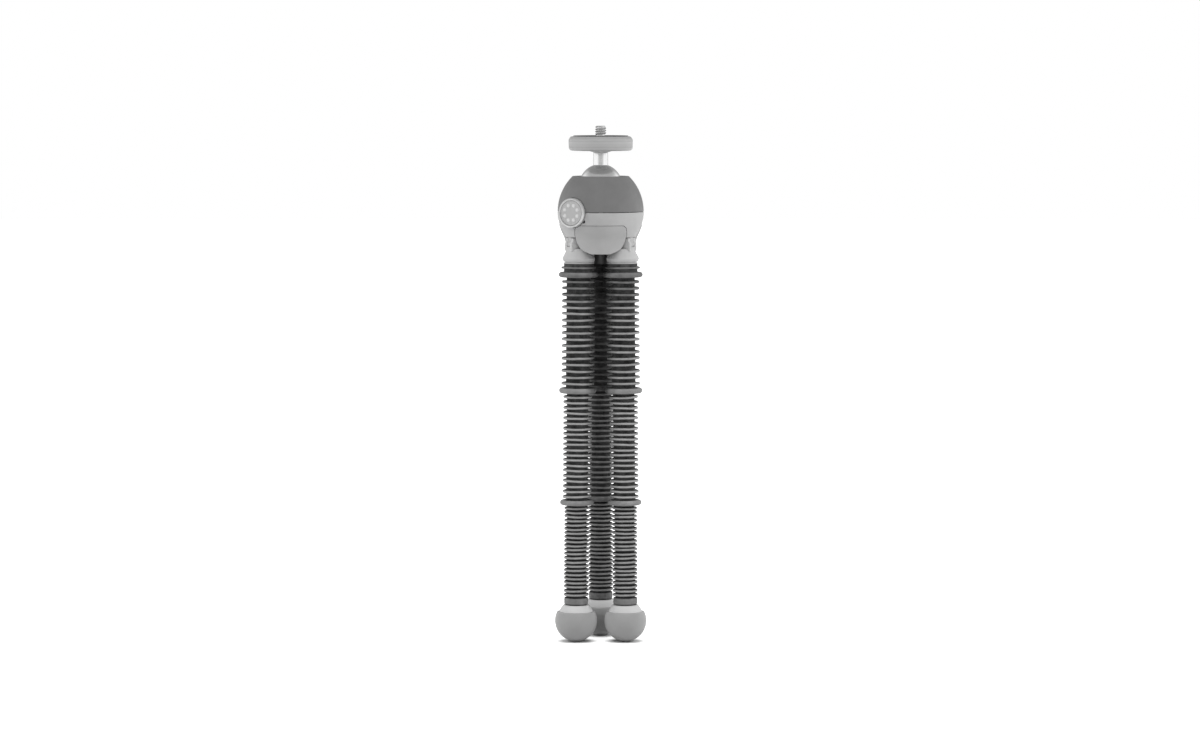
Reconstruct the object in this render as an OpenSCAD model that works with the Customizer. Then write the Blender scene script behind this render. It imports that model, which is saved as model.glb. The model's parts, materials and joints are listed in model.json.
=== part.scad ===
// Small tripod with three bendable legs, a ball head under a round camera plate,
// and a knob that clamps the ball. Millimetres. Z is up and the feet stand on z = 0.
// The origin lies on the head's axis, at the middle of the circle of feet.

/* [Feet] */
// Radius of the rubber ball of a foot
foot_r = 11.5; // [10.6:0.1:12.4]
// Radius of the circle that the middles of the feet lie on
foot_circle_r = 15.6; // [15.6:0.1:20]
// Depth of the flat under each foot
foot_flat = 0.25; // [0.1:0.05:0.5]
// Height of the rubber lip above the middle of the ball
foot_lip_h = 5; // [4:0.1:6]
// Thickness of the rubber shell of a foot
foot_wall = 2.4; // [1.6:0.1:3]
// Height of the neck above the rubber lip
neck_h = 3.6; // [2.4:0.1:4]
// Radius of the neck where it leaves the rubber
neck_low_r = 9.2; // [8.6:0.1:9.6]
// Radius of the neck's top face
neck_top_r = 6.9; // [6.2:0.1:7.6]

/* [Leg sleeves] */
// Height of the plain cuff above the foot
cuff_h = 4; // [3:0.5:6]
// Outer radius of the cuff
cuff_r = 6.55; // [6:0.05:7]
// Length of the lower ribbed stretch
lower_len = 50.7; // [40:0.1:70]
// Ribs on the lower stretch
lower_ribs = 22; // [14:1:26]
// Radius over the lower ribs
lower_rib_r = 6.85; // [6.4:0.05:7.4]
// Radius between the lower ribs
lower_core_r = 5.3; // [5:0.05:5.8]
// Length of the middle ribbed stretch
middle_len = 58.4; // [45:0.2:75]
// Ribs on the middle stretch
middle_ribs = 20; // [14:1:24]
// Radius over the middle ribs
middle_rib_r = 7.85; // [7.2:0.05:8.4]
// Radius between the middle ribs
middle_core_r = 5.9; // [5.4:0.05:6.6]
// Length of the upper ribbed stretch
upper_len = 60.3; // [45:0.1:75]
// Ribs on the upper stretch
upper_ribs = 17; // [12:1:20]
// Radius over the upper ribs
upper_rib_r = 9; // [8.4:0.05:9.8]
// Radius between the upper ribs
upper_core_r = 6.5; // [6:0.05:7.6]
// Thickness of the lowest of the three broad rings
ring_3_t = 2.75; // [2:0.05:4]
// Radius of the lowest broad ring
ring_3_r = 9.25; // [8.6:0.05:9.8]
// Thickness of the middle broad ring
ring_2_t = 2.9; // [2.4:0.05:3.4]
// Radius of the middle broad ring
ring_2_r = 10.15; // [9.6:0.05:10.6]
// Thickness of the highest broad ring
ring_1_t = 2.8; // [2.4:0.05:3.4]
// Radius of the highest broad ring
ring_1_r = 10.8; // [10:0.05:11.2]
// Width of the bevel on a broad ring's edges
ring_bevel = 0.9; // [0.2:0.05:1.2]
// Height of the rubber between the highest ring and the shoulder
top_collar_h = 4.1; // [3.6:0.1:5]
// Radius of that rubber
top_collar_r = 8; // [7.4:0.05:8.6]
// Radius of the thin flange round it
top_flange_r = 9.4; // [9:0.05:10]
// Thickness of the thin flange
top_flange_t = 1; // [0.6:0.1:1.4]
// Height of the plain rubber above the flange
top_flange_drop = 0.85; // [0.6:0.05:1.2]

/* [Leg links] */
// Ball joints down each leg
joint_count = 7; // [7:1:7]
// Distance of the first ball joint below the shoulder
first_joint_drop = 13.5; // [12.5:0.1:16]
// Distance of the last ball joint above the foot's neck
last_joint_rise = 22.6; // [16:0.1:28]
// Radius of a link's ball
link_ball_r = 3.1; // [2.9:0.05:3.15]
// Outer radius of a link's socket
link_cup_r = 4; // [3.9:0.05:4.1]
// Radius of a link's shaft
link_shaft_r = 3.2; // [2.6:0.1:3.4]
// Radius of the neck above a link's ball
link_neck_r = 1.3; // [1.1:0.05:1.35]
// Height of the free neck above a ball's middle
link_neck_h = 4.6; // [4.4:0.1:5.6]
// Angle of a socket's mouth from its axis
socket_mouth_angle = 58; // [57:0.5:60]

/* [Shoulders] */
// Radius of the circle that the hip pins lie on
hip_circle_r = 18; // [17.8:0.1:18.2]
// Distance of the leg's axis inside the hip pin
hip_offset = 4.3; // [4.1:0.1:4.5]
// Height of the hip pin above the shoulder's lower face
shoulder_h = 10.9; // [10.5:0.1:12]
// Distance of the bell's top below the hip pin
bell_drop = 2.5; // [2.5:0.05:2.8]
// Radius of the bell's top
bell_top_r = 6.7; // [6.2:0.05:6.9]
// Radius of the bell's flared edge
flare_r = 8.9; // [8.6:0.05:9.2]
// Height of the bell from its top to the flared edge
flare_drop = 5.3; // [5:0.1:5.6]
// Radius of the collar under the flare
collar_r = 8.2; // [8:0.05:8.4]
// Radius of a hip knuckle
knuckle_r = 2.3; // [2.1:0.05:2.4]
// Length over both knuckles of a shoulder
knuckle_len = 7; // [6.6:0.1:7.2]
// Radius of a hip pin
hip_pin_r = 1.2; // [1:0.05:1.4]
// Thickness of the frame's lug between the knuckles
lug_t = 3; // [2.4:0.1:3.4]
// Radius of the frame's lug
lug_r = 2.1; // [1.8:0.05:2.2]
// Radius of the frame's hub between the shoulders
hub_r = 4; // [3:0.1:4.4]

/* [Shell] */
// Largest radius of the shell
shell_r = 23.4; // [23:0.1:24.4]
// Radius of the arc of the shell's side
shell_arc_r = 26.8; // [26.4:0.1:27.6]
// Height of the shell's widest place above the hip pins
shell_mid_h = 17.6; // [17:0.1:18.2]
// Height of the shell's flat top above its widest place
shell_top_h = 19.2; // [18.6:0.1:19.8]
// Thickness of the shell's wall
shell_wall = 2; // [1.6:0.1:2.2]
// Height of the shell's lower rim above the hip pins
rim_h = 3.9; // [3.6:0.05:4.1]
// Width of the bevel round the flat top
top_bevel = 0.5; // [0.3:0.1:1.4]
// Width of the dark seam between the two shells
seam_gap = 0.3; // [0.2:0.05:0.5]
// Height of the top edge of a lobe above the hip pins
lobe_top_h = 10.4; // [9.6:0.1:11]
// Distance of a lobe's lower edge below the hip pins
lobe_drop = 5; // [4.6:0.1:6]
// Half the width of a lobe at its widest place
lobe_half_w = 14; // [13.4:0.1:14.2]
// Half the width of a lobe's lower edge
lobe_foot_half_w = 5.2; // [4.6:0.1:6]
// Radius of a lobe's lower edge from the head's axis
lobe_low_r = 18; // [17.9:0.1:18.6]
// How much a lobe's lower half leans out with height
lobe_lean = 0.19; // [0.17:0.01:0.24]
// How far a lobe stands out of the shell
lobe_proud = 0.15; // [0.1:0.05:0.3]
// Thickness of a lobe
lobe_wall = 1.5; // [1.2:0.1:1.5]
// Gap round a lobe
lobe_gap = 0.2; // [0.15:0.05:0.4]
// Width of the tab that a shell screw holds a lobe by
lobe_tab_w = 7; // [6:0.1:8]
// Height that the tab takes under the frame's disc
lobe_tab_t = 1.6; // [1.4:0.1:2]
// Radius of the circle that the shell screws lie on
screw_circle_r = 17.2; // [17:0.1:17.4]
// Radius of a shell screw
shell_screw_r = 1.1; // [0.9:0.05:1.2]
// Length of a shell screw above the seam
screw_reach = 5; // [4:0.1:6]
// Radius of the bosses that take the shell screws
boss_r = 2.4; // [2.2:0.05:2.5]

/* [Ball head] */
// Radius of the ball
ball_r = 11.7; // [11.5:0.05:11.8]
// Height of the ball's middle above the shell's widest place
ball_h = 14.1; // [14:0.05:14.3]
// Radius of the stem on the ball
stem_r = 4; // [3.6:0.1:4.2]
// Height of the stem's top above the ball's middle
stem_h = 18; // [16:0.1:19]
// Gap between the ball and what holds it
ball_gap = 0.15; // [0.1:0.05:0.25]
// Thickness of the seat liner outside the ball
liner_wall = 1.3; // [1.1:0.05:1.4]
// Height of the seat liner
liner_h = 5.7; // [5:0.1:6]
// Thickness of the clamp cup's wall round the liner
cup_wall = 1.2; // [1.1:0.05:1.4]
// Depth of the clamp cup's floor
cup_floor = 3.5; // [3:0.1:4]
// Height of the round step on the frame's disc that the clamp cup stands on
pedestal_h = 1.9; // [1.5:0.1:2.4]
// Width of the step that carries the seat liner
liner_step = 0.4; // [0.3:0.05:0.45]

/* [Camera plate] */
// Radius of the camera plate
plate_r = 17.5; // [16:0.1:20]
// Thickness of the camera plate
plate_t = 7.8; // [6:0.1:10]
// Height of the cone under the plate
plate_cone_h = 0.8; // [0.6:0.1:2]
// Radius of that cone where it meets the plate
plate_cone_r = 7; // [6:0.1:9]
// Width of the bevel round the plate's top
plate_bevel_w = 1.6; // [1:0.1:2.4]
// Height of the bevel round the plate's top
plate_bevel_h = 1.4; // [1:0.1:2.5]
// Radius of the round under the plate's edge
plate_round = 1.5; // [0.5:0.1:2.2]
// Radius of the rubber pad on the plate
pad_r = 14.9; // [12:0.1:15]
// Height of the pad above the plate
pad_proud = 0.4; // [0.3:0.05:0.8]
// Depth of the recess that the pad lies in
pad_recess = 0.8; // [0.5:0.05:1.2]

/* [Camera screw] */
// Radius over the thread of the camera screw
thread_r = 3.175; // [3.175:0.001:3.175]
// Depth of the neck that the screw turns the plate on, below its thread
shank_step = 0.5; // [0.4:0.05:0.6]
// Height of the screw above the pad
screw_h = 5.3; // [4.6:0.1:6.4]
// Width of the bevel on the screw's tip
screw_bevel = 0.5; // [0.3:0.05:0.7]

/* [Clamp] */
// Direction that the knob points in, measured from the X axis
knob_angle = -122; // [-125:0.5:-119]
// Distance of the knob's axis beside the head's axis
knob_offset = 3.6; // [3.2:0.1:4]
// Distance of the knob's axis below the shell's widest place
knob_drop = 0.2; // [0.1:0.05:0.5]
// Radius of the knob
knob_r = 8; // [7.4:0.05:8.2]
// Distance of the knob's face from the head's axis
knob_face_u = 25; // [24.6:0.1:26]
// Thickness of the knob
knob_t = 6; // [5:0.1:6.4]
// Radius of the cap in the knob's face
knob_cap_r = 6.7; // [6:0.1:6.9]
// Pips on the knob's cap
knob_pips = 8; // [6:1:10]
// Radius of a pip
knob_pip_r = 0.8; // [0.5:0.05:0.9]
// Radius of the ring of pips
knob_pip_ring_r = 4.2; // [3.6:0.1:4.6]
// Gap round the knob where it sinks into the shells
knob_gap = 0.25; // [0.2:0.05:0.35]
// Radius of the small notch beside the knob
knob_notch_r = 1; // [0.7:0.05:1.3]
// Direction of the notch from the knob's axis
knob_notch_angle = 34; // [30:1:40]
// Radius of the clamp screw
clamp_screw_r = 2; // [1.8:0.05:2.1]
// Travel of the wedge in one turn of the knob
clamp_pitch = 2; // [1.5:0.1:2]
// Slope of the wedge's top, which lifts the ball against its seat
wedge_slope = 0.2; // [0.16:0.01:0.22]
// Half the width of the wedge
wedge_half_w = 7.6; // [6.4:0.1:7.8]

/* [Fits] */
// Radial clearance of a pin or shaft that turns
run_gap = 0.05; // [0.03:0.01:0.08]
// Gap between pieces that sit in or on each other
fit_gap = 0.1; // [0.05:0.01:0.2]
// Gap between pieces that move past each other
move_gap = 0.3; // [0.2:0.05:0.4]

/* [Hidden] */
LEGS = ["a", "b", "c"];
LEG_ANGLES = [-150, -30, 90];
LOBES = ["front", "right", "left"];
LOBE_ANGLES = [-90, 30, 150];
head_nodes = ["upper_shell", "lower_shell", "core_frame", "hip_pins", "shell_screws",
    "clamp_cup", "seat_liner", "ball_stud", "camera_screw", "camera_plate", "plate_pad",
    "clamp_knob", "knob_cap", "clamp_screw", "clamp_wedge"];
lobe_nodes = [for (side = LOBES) str("lobe_cover_", side)];
link_nodes = [for (leg = LEGS) for (k = [1 : joint_count]) str("leg_", leg, "_link_", k)];
leg_pieces = ["shoulder", "sleeve_upper", "sleeve_middle", "sleeve_lower", "foot_core", "foot_pad"];
leg_nodes = [for (leg = LEGS) for (piece = leg_pieces) str("leg_", leg, "_", piece)];
$fn = 64;
big = 100;
sink = 0.01;

// Heights on a leg, from the ground up
foot_mid_z = foot_r - foot_flat;
lip_z = foot_mid_z + foot_lip_h;
neck_z = lip_z + fit_gap;
neck_top_z = neck_z + neck_h;
cuff_z = neck_top_z + fit_gap;
cuff_top_z = cuff_z + cuff_h;
ring_3_z = cuff_top_z + lower_len;
ring_3_top_z = ring_3_z + ring_3_t;
ring_2_z = ring_3_top_z + middle_len;
ring_2_top_z = ring_2_z + ring_2_t;
ring_1_z = ring_2_top_z + upper_len;
ring_1_top_z = ring_1_z + ring_1_t;
sleeve_top_z = ring_1_top_z + top_collar_h;
flange_z = sleeve_top_z - top_flange_drop - top_flange_t;
shoulder_z = sleeve_top_z + fit_gap;
hip_z = shoulder_z + shoulder_h;
bell_z = hip_z - bell_drop;
flare_z = bell_z - flare_drop;

// The foot's neck is part of a ball whose middle lies on the leg's axis
neck_mid_z = (neck_z + neck_top_z - (pow(neck_low_r, 2) - pow(neck_top_r, 2)) / neck_h) / 2;
neck_ball_r = sqrt(pow(neck_low_r, 2) + pow(neck_z - neck_mid_z, 2));
foot_core_z = foot_mid_z - 0.53 * foot_r;
foot_stem_z = foot_mid_z - 0.26 * foot_r;

// Joints of a leg
first_joint_z = shoulder_z - first_joint_drop;
last_joint_z = neck_top_z + last_joint_rise;
joint_pitch = (first_joint_z - last_joint_z) / (joint_count - 1);
function joint_z(k) = first_joint_z - (k - 1) * joint_pitch;
leg_top_r = hip_circle_r - hip_offset;
leg_lean = atan((foot_circle_r - leg_top_r) / (hip_z - foot_mid_z));
bore_r = link_cup_r + move_gap;
shaft_drop = link_neck_h + 1.9;
mouth_z = link_cup_r * cos(socket_mouth_angle) - 0.45;

// A rib's crest and root, and the plain stretch beside a broad ring, as parts of the rib pitch
crest_share = 0.36;
root_share = 0.56;
end_share = 0.7;

// Heights in the head
shell_mid_z = hip_z + shell_mid_h;
shell_arc_x = shell_r - shell_arc_r;
shell_top_z = shell_mid_z + shell_top_h;
seam_z = shell_mid_z - seam_gap / 2;
rim_z = hip_z + rim_h;
lobe_top_z = hip_z + lobe_top_h;
lobe_low_z = hip_z - lobe_drop;
ball_z = shell_mid_z + ball_h;
knob_z = shell_mid_z - knob_drop;
stem_top_z = ball_z + stem_h;
plate_z = stem_top_z + fit_gap + plate_cone_h;
plate_top_z = plate_z + plate_t;
pad_top_z = plate_top_z + pad_proud;
shank_r = thread_r - shank_step;
shank_depth = 8;

// The frame's disc, the clamp cup and what it holds
disc_t = 2.5;
disc_z = rim_z + 0.9;
screw_tip_z = seam_z + screw_reach;
screw_head_r = shell_screw_r + 0.8;
screw_head_z = disc_z + 0.1;
screw_head_t = 1.2;
disc_top_z = disc_z + disc_t;
liner_r = ball_r + liner_wall;
cup_r = liner_r + cup_wall;
chamber_r = liner_r - liner_step;
cup_z = disc_top_z + pedestal_h;
pedestal_r = cup_r - 2.2;
chamber_z = cup_z + cup_floor;
cup_top_z = ball_z + 0.8;
liner_z = cup_top_z - liner_h;
seat_r = ball_r + ball_gap;
collar_z = cup_top_z + move_gap;
wedge_z = chamber_z + move_gap;
wedge_mid_z = ball_z - seat_r * sqrt(1 + pow(wedge_slope, 2));
wedge_travel = 0.75 * clamp_pitch;
wedge_start = wedge_travel + move_gap - sqrt(pow(chamber_r, 2) - pow(wedge_half_w, 2));
wedge_end = 0.6 * chamber_r;
nut_start = 0.9;
nut_z = ball_z - seat_r - fit_gap / 2;
screw_end_u = nut_start + wedge_travel;
knob_back_u = knob_face_u - knob_t;

function shell_radius(z, inset = 0) =
    shell_arc_x + sqrt(pow(shell_arc_r - inset, 2) - pow(z - shell_mid_z, 2));
lug_out_r = shell_radius(rim_z, shell_wall) - fit_gap;

// A lobe follows the shell above and a steeper cone below, with a soft blend between them
lobe_blend = 0.3;
lobe_steps = 16;
function lobe_cone(z) = lobe_low_r + lobe_lean * (z - lobe_low_z);
function lobe_radius(z) = (shell_radius(z) + lobe_proud + lobe_cone(z)) / 2
    + sqrt(pow((shell_radius(z) + lobe_proud - lobe_cone(z)) / 2, 2) + pow(lobe_blend, 2));

// Places

module on_leg(i) rotate([0, 0, LEG_ANGLES[i]]) children();

module on_leg_axis(i) on_leg(i)
    translate([foot_circle_r, 0, foot_mid_z])
        rotate([0, -leg_lean, 0])
            translate([0, 0, -foot_mid_z]) children();

module on_knob_axis() translate([0, 0, knob_z])
    rotate([0, 0, knob_angle])
        translate([0, -knob_offset, 0])
            rotate([0, 90, 0]) children();

module each_lobe() for (angle = LOBE_ANGLES) rotate([0, 0, angle]) children();

// A plain cylinder between two heights
module rod(r, low, high) translate([0, 0, low]) cylinder(r = r, h = high - low);

// Everything between two heights
module band(low, high) translate([-big, -big, low]) cube([2 * big, 2 * big, high - low]);

// Shells

module shell_profile(inset) intersection() {
    translate([shell_arc_x, shell_mid_z]) circle(r = shell_arc_r - inset, $fn = 128);
    translate([0, rim_z]) square([big, shell_top_z - rim_z]);
}

module lobe_profile(inset) {
    low = lobe_low_z - 1;
    rise = (lobe_top_z - lobe_low_z + 2) / lobe_steps;
    heights = [for (n = [0 : lobe_steps]) low + n * rise];
    polygon(concat([[0, low]], [for (z = heights) [lobe_radius(z) - inset, z]],
        [[0, heights[lobe_steps]]]));
}

// The outline of a lobe seen from outside, across and up, with a margin all round
module lobe_outline(margin) {
    top = lobe_top_z + margin;
    low = lobe_low_z - margin;
    half = lobe_half_w + margin;
    foot = lobe_foot_half_w + margin / 2;
    side = half - foot;
    rise = top - low;
    right = [[foot, low], [foot + 0.43 * side, low + 0.1 * rise], [foot + 0.68 * side, low + 0.21 * rise],
        [foot + 0.88 * side, low + 0.42 * rise], [half, low + 0.67 * rise],
        [half - 0.02 * side, top - 0.1 * rise], [half - 0.19 * side, top]];
    left = [for (n = [len(right) - 1 : -1 : 0]) [-right[n][0], right[n][1]]];
    polygon(concat(right, left));
}

// A bar through the shell's wall with a lobe's outline
module lobe_bar(margin) rotate([90, 0, 90])
    translate([0, 0, hip_circle_r / 2])
        linear_extrude(big) lobe_outline(margin);

// The space that a shoulder passes as its leg swings out
module shoulder_space(i) {
    on_leg_axis(i) rod(bell_top_r + 0.9, bell_z - 3, bell_z + fit_gap);
    on_leg_axis(i) rod(flare_r + move_gap, flare_z - 4, bell_z - 2);
    on_leg(i)
        translate([leg_top_r, -bell_top_r - move_gap, lobe_low_z - 2])
            cube([big, 2 * (bell_top_r + move_gap), bell_z + fit_gap - lobe_low_z + 2]);
}

module knob_hole() on_knob_axis() rod(knob_r + knob_gap, cup_r + 1, big);

// A small notch beside the knob, below the seam
module knob_notch() on_knob_axis() rotate([0, 0, -knob_notch_angle])
    translate([0, knob_r + knob_gap, 0]) rod(knob_notch_r, cup_r + 1, big);

module screw_boss(low, high) {
    translate([screw_circle_r, 0, 0]) rod(boss_r, low, high);
    translate([screw_circle_r, -boss_r / 2, low]) cube([big, boss_r, high - low]);
}

module upper_shell() color("dimgray") difference() {
    intersection() {
        rotate_extrude($fn = 128) shell_profile(0);
        band(seam_z + seam_gap, shell_top_z);
        union() {
            difference() {
                band(seam_z, shell_top_z);
                rotate_extrude($fn = 128) intersection() {
                    shell_profile(shell_wall);
                    square([big, shell_top_z - shell_wall]);
                }
            }
            rod(cup_r, collar_z, shell_top_z);
            each_lobe() screw_boss(seam_z + seam_gap, screw_tip_z + 2);
        }
        rotate_extrude($fn = 128) polygon([[0, seam_z], [big, seam_z],
            [big, shell_mid_z], [shell_radius(shell_top_z) + 4, shell_top_z - top_bevel - 4],
            [shell_radius(shell_top_z) - top_bevel, shell_top_z], [0, shell_top_z]]);
    }
    translate([0, 0, ball_z]) sphere(r = seat_r, $fn = 128);
    rod(cup_r + fit_gap, seam_z, cup_top_z);
    each_lobe() translate([screw_circle_r, 0, 0]) rod(shell_screw_r + run_gap, seam_z, screw_tip_z + 1);
    knob_hole();
}

module lower_shell() color("gainsboro") difference() {
    intersection() {
        rotate_extrude($fn = 128) shell_profile(0);
        band(rim_z, seam_z);
        union() {
            difference() {
                band(rim_z, seam_z);
                rotate_extrude($fn = 128) shell_profile(shell_wall);
            }
            each_lobe() screw_boss(disc_top_z + fit_gap, seam_z);
        }
    }
    each_lobe() difference() {
        lobe_bar(lobe_gap);
        rotate_extrude($fn = 128) lobe_profile(lobe_wall + lobe_gap);
    }
    each_lobe() intersection() {
        lobe_bar(lobe_gap);
        band(rim_z - 1, disc_top_z);
    }
    each_lobe() translate([screw_circle_r, 0, 0]) rod(shell_screw_r + run_gap, rim_z, seam_z + 1);
    rod(cup_r + fit_gap, cup_z, seam_z + 1);
    knob_hole();
    knob_notch();
}

// A lobe fills the gap in the lower shell between two legs
module lobe_cover(n) color("lightgray") rotate([0, 0, LOBE_ANGLES[n]]) {
    difference() {
        intersection() {
            rotate_extrude($fn = 128) difference() {
                lobe_profile(0);
                lobe_profile(lobe_wall);
            }
            lobe_bar(0);
        }
        rotate([0, 0, -LOBE_ANGLES[n]]) for (i = [0 : 2]) shoulder_space(i);
        rotate([0, 0, -LOBE_ANGLES[n]]) knob_hole();
    }
    intersection() {
        rotate_extrude($fn = 128) lobe_profile(lobe_wall / 2);
        translate([screw_circle_r - lobe_tab_w / 2, -lobe_tab_w / 2, disc_z - lobe_tab_t])
            cube([lobe_tab_w, lobe_tab_w, lobe_tab_t - move_gap]);
    }
}

// Frame

module hip_lug(i) on_leg(i) difference() {
    union() {
        translate([hip_circle_r, 0, hip_z]) rotate([90, 0, 0])
            translate([0, 0, -lug_t / 2]) cylinder(r = lug_r, h = lug_t);
        translate([leg_top_r - 1, -lug_t / 2, hip_z])
            cube([hip_offset + 1 + lug_r, lug_t, rim_h - fit_gap]);
        translate([leg_top_r - 1, -lug_t / 2, hip_z])
            cube([lug_out_r - leg_top_r + 1, lug_t, disc_z + sink - hip_z]);
    }
    translate([hip_circle_r, 0, hip_z]) rotate([90, 0, 0])
        translate([0, 0, -lug_t]) cylinder(r = hip_pin_r + run_gap, h = 2 * lug_t);
}

module core_frame() color("darkgray") {
    difference() {
        intersection() {
            union() {
                rod(big, disc_z, disc_top_z);
                rod(pedestal_r, disc_top_z - sink, cup_z);
            }
            rotate_extrude($fn = 128) intersection() {
                shell_profile(shell_wall + fit_gap);
                lobe_profile(lobe_wall + fit_gap);
            }
        }
        each_lobe() translate([screw_circle_r, 0, 0]) {
            rod(shell_screw_r + run_gap, disc_z - 1, disc_top_z + 1);
            rod(screw_head_r + fit_gap, disc_z - 1, screw_head_z + screw_head_t + fit_gap);
        }
    }
    for (i = [0 : 2]) hip_lug(i);
    rod(hub_r, shoulder_z, disc_z + sink);
}

module hip_pins() color("silver") for (i = [0 : 2]) on_leg(i)
    translate([hip_circle_r, 0, hip_z]) rotate([90, 0, 0])
        translate([0, 0, -knuckle_len / 2]) cylinder(r = hip_pin_r, h = knuckle_len);

module shell_screws() color("silver") each_lobe() translate([screw_circle_r, 0, 0]) {
    rod(shell_screw_r, screw_head_z + screw_head_t / 2, screw_tip_z);
    difference() {
        rod(screw_head_r, screw_head_z, screw_head_z + screw_head_t);
        translate([-1, -0.25, disc_z]) cube([2, 0.5, 0.6]);
    }
}

// Ball head

module clamp_cup() color("slategray") difference() {
    rod(cup_r, cup_z, cup_top_z);
    rod(chamber_r, chamber_z, cup_top_z + 1);
    rod(liner_r + fit_gap, liner_z - fit_gap, cup_top_z + 1);
    on_knob_axis() rod(clamp_screw_r + run_gap, 0, big);
}

module seat_liner() color("whitesmoke") difference() {
    rod(liner_r, liner_z, cup_top_z);
    translate([0, 0, ball_z]) sphere(r = seat_r, $fn = 128);
}

module ball_stud() color("silver") difference() {
    union() {
        translate([0, 0, ball_z]) sphere(r = ball_r, $fn = 128);
        rod(stem_r, ball_z, stem_top_z);
    }
    rod(shank_r + fit_gap, stem_top_z - shank_depth, stem_top_z + 1);
}

// The thread is drawn as a plain rod of its full width
module screw_outline() {
    low = stem_top_z - shank_depth + 0.5;
    top = pad_top_z + screw_h;
    polygon([[0, low], [shank_r, low], [shank_r, pad_top_z], [thread_r, pad_top_z],
        [thread_r, top - screw_bevel], [thread_r - screw_bevel, top], [0, top]]);
}

module camera_screw() color("silver") rotate_extrude($fn = 64) screw_outline();

module plate_outline() {
    in_r = shank_r + run_gap;
    difference() {
        union() {
            polygon([[in_r, plate_z - plate_cone_h], [stem_r + 0.4, plate_z - plate_cone_h],
                [plate_cone_r, plate_z], [plate_r - plate_round, plate_z], [plate_r, plate_z + plate_round],
                [plate_r, plate_top_z - plate_bevel_h], [plate_r - plate_bevel_w, plate_top_z],
                [in_r, plate_top_z]]);
            translate([plate_r - plate_round, plate_z + plate_round]) circle(r = plate_round);
        }
        translate([0, plate_top_z - pad_recess]) square([pad_r + fit_gap, pad_recess + 1]);
    }
}

module camera_plate() color("lightgray") rotate_extrude($fn = 128) plate_outline();

module plate_pad() color("dimgray") difference() {
    rod(pad_r, plate_top_z - pad_recess + fit_gap / 2, pad_top_z);
    rod(thread_r + move_gap, plate_z, pad_top_z + 1);
}

// Clamp

module clamp_knob() color("silver") on_knob_axis() difference() {
    rod(knob_r, knob_back_u, knob_face_u);
    rod(knob_cap_r + fit_gap, knob_face_u - 1.2, knob_face_u + 1);
    rod(clamp_screw_r + fit_gap, knob_back_u - 1, knob_face_u - 2);
    rod(knob_cap_r - 0.6, knob_back_u - 1, knob_back_u + 2);
}

module knob_cap() color("gainsboro") on_knob_axis() {
    rod(knob_cap_r, knob_face_u - 1.1, knob_face_u - 0.3);
    for (n = [1 : knob_pips]) rotate([0, 0, n * 360 / knob_pips])
        translate([knob_pip_ring_r, 0, 0])
            rod(knob_pip_r, knob_face_u - 0.5, knob_face_u - 0.1);
}

module clamp_screw() color("silver") on_knob_axis() {
    rod(clamp_screw_r, screw_end_u, knob_face_u - 2.2);
    rod(clamp_screw_r + 1.4, cup_r + fit_gap, cup_r + 1.6);
}

module wedge_side() polygon([[wedge_start, wedge_z], [wedge_end, wedge_z], [wedge_end, nut_z],
    [nut_start, nut_z], [nut_start, wedge_mid_z - wedge_slope * nut_start],
    [wedge_start, wedge_mid_z - wedge_slope * wedge_start]]);

// The ball rests on the wedge's slope, and the clamp screw draws the wedge under it
module clamp_wedge() color("goldenrod") difference() {
    rotate([0, 0, knob_angle]) rotate([90, 0, 0])
        translate([0, 0, -wedge_half_w]) linear_extrude(2 * wedge_half_w) wedge_side();
    on_knob_axis() rod(clamp_screw_r + run_gap, nut_start, big);
}

// Legs

module socket_link(length) difference() {
    union() {
        sphere(r = link_cup_r);
        rod(link_shaft_r, -length, 0);
    }
    sphere(r = link_ball_r + fit_gap);
    rod(link_cup_r, mouth_z, link_cup_r + 1);
}

// A link's ball hangs on a thin neck, so that the socket round it can swing
module ball_end() {
    sphere(r = link_ball_r);
    rod(link_neck_r, 0, link_neck_h + sink);
    translate([0, 0, link_neck_h])
        cylinder(r1 = link_neck_r, r2 = link_shaft_r, h = shaft_drop + sink - link_neck_h);
}

module leg_link(i, k) color("dimgray") on_leg_axis(i) translate([0, 0, joint_z(k)]) {
    if (k < joint_count) {
        socket_link(joint_pitch - shaft_drop);
        translate([0, 0, -joint_pitch]) ball_end();
    } else socket_link(joint_z(k) - foot_stem_z);
}

module shoulder_outline() polygon([[0, shoulder_z], [collar_r, shoulder_z],
    [collar_r, flare_z - 1.6], [flare_r - 0.2, flare_z - 0.7], [flare_r, flare_z],
    [flare_r - 0.7, flare_z + 1.4], [(flare_r + bell_top_r) / 2, flare_z + 3],
    [bell_top_r + 0.2, bell_z - 1.2], [bell_top_r - 0.2, bell_z - 0.3], [bell_top_r - 0.7, bell_z],
    [0, bell_z]]);

module knuckles(i) on_leg(i) difference() {
    union() {
        translate([hip_circle_r, 0, hip_z]) rotate([90, 0, 0])
            translate([0, 0, -knuckle_len / 2]) cylinder(r = knuckle_r, h = knuckle_len);
        translate([leg_top_r - 1, -knuckle_len / 2, bell_z - 1])
            cube([hip_offset + 1 + knuckle_r, knuckle_len, bell_drop + 1]);
    }
    translate([hip_circle_r, 0, hip_z]) rotate([90, 0, 0])
        translate([0, 0, -knuckle_len]) cylinder(r = hip_pin_r + run_gap, h = 2 * knuckle_len);
    translate([0, -lug_t / 2 - fit_gap, bell_z])
        cube([big, lug_t + 2 * fit_gap, big]);
}

module leg_shoulder(i) color("lightgray") {
    on_leg_axis(i) rotate_extrude() shoulder_outline();
    knuckles(i);
    on_leg_axis(i) translate([0, 0, first_joint_z]) {
        ball_end();
        rod(link_shaft_r, shaft_drop, first_joint_drop + sink);
    }
}

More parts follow.
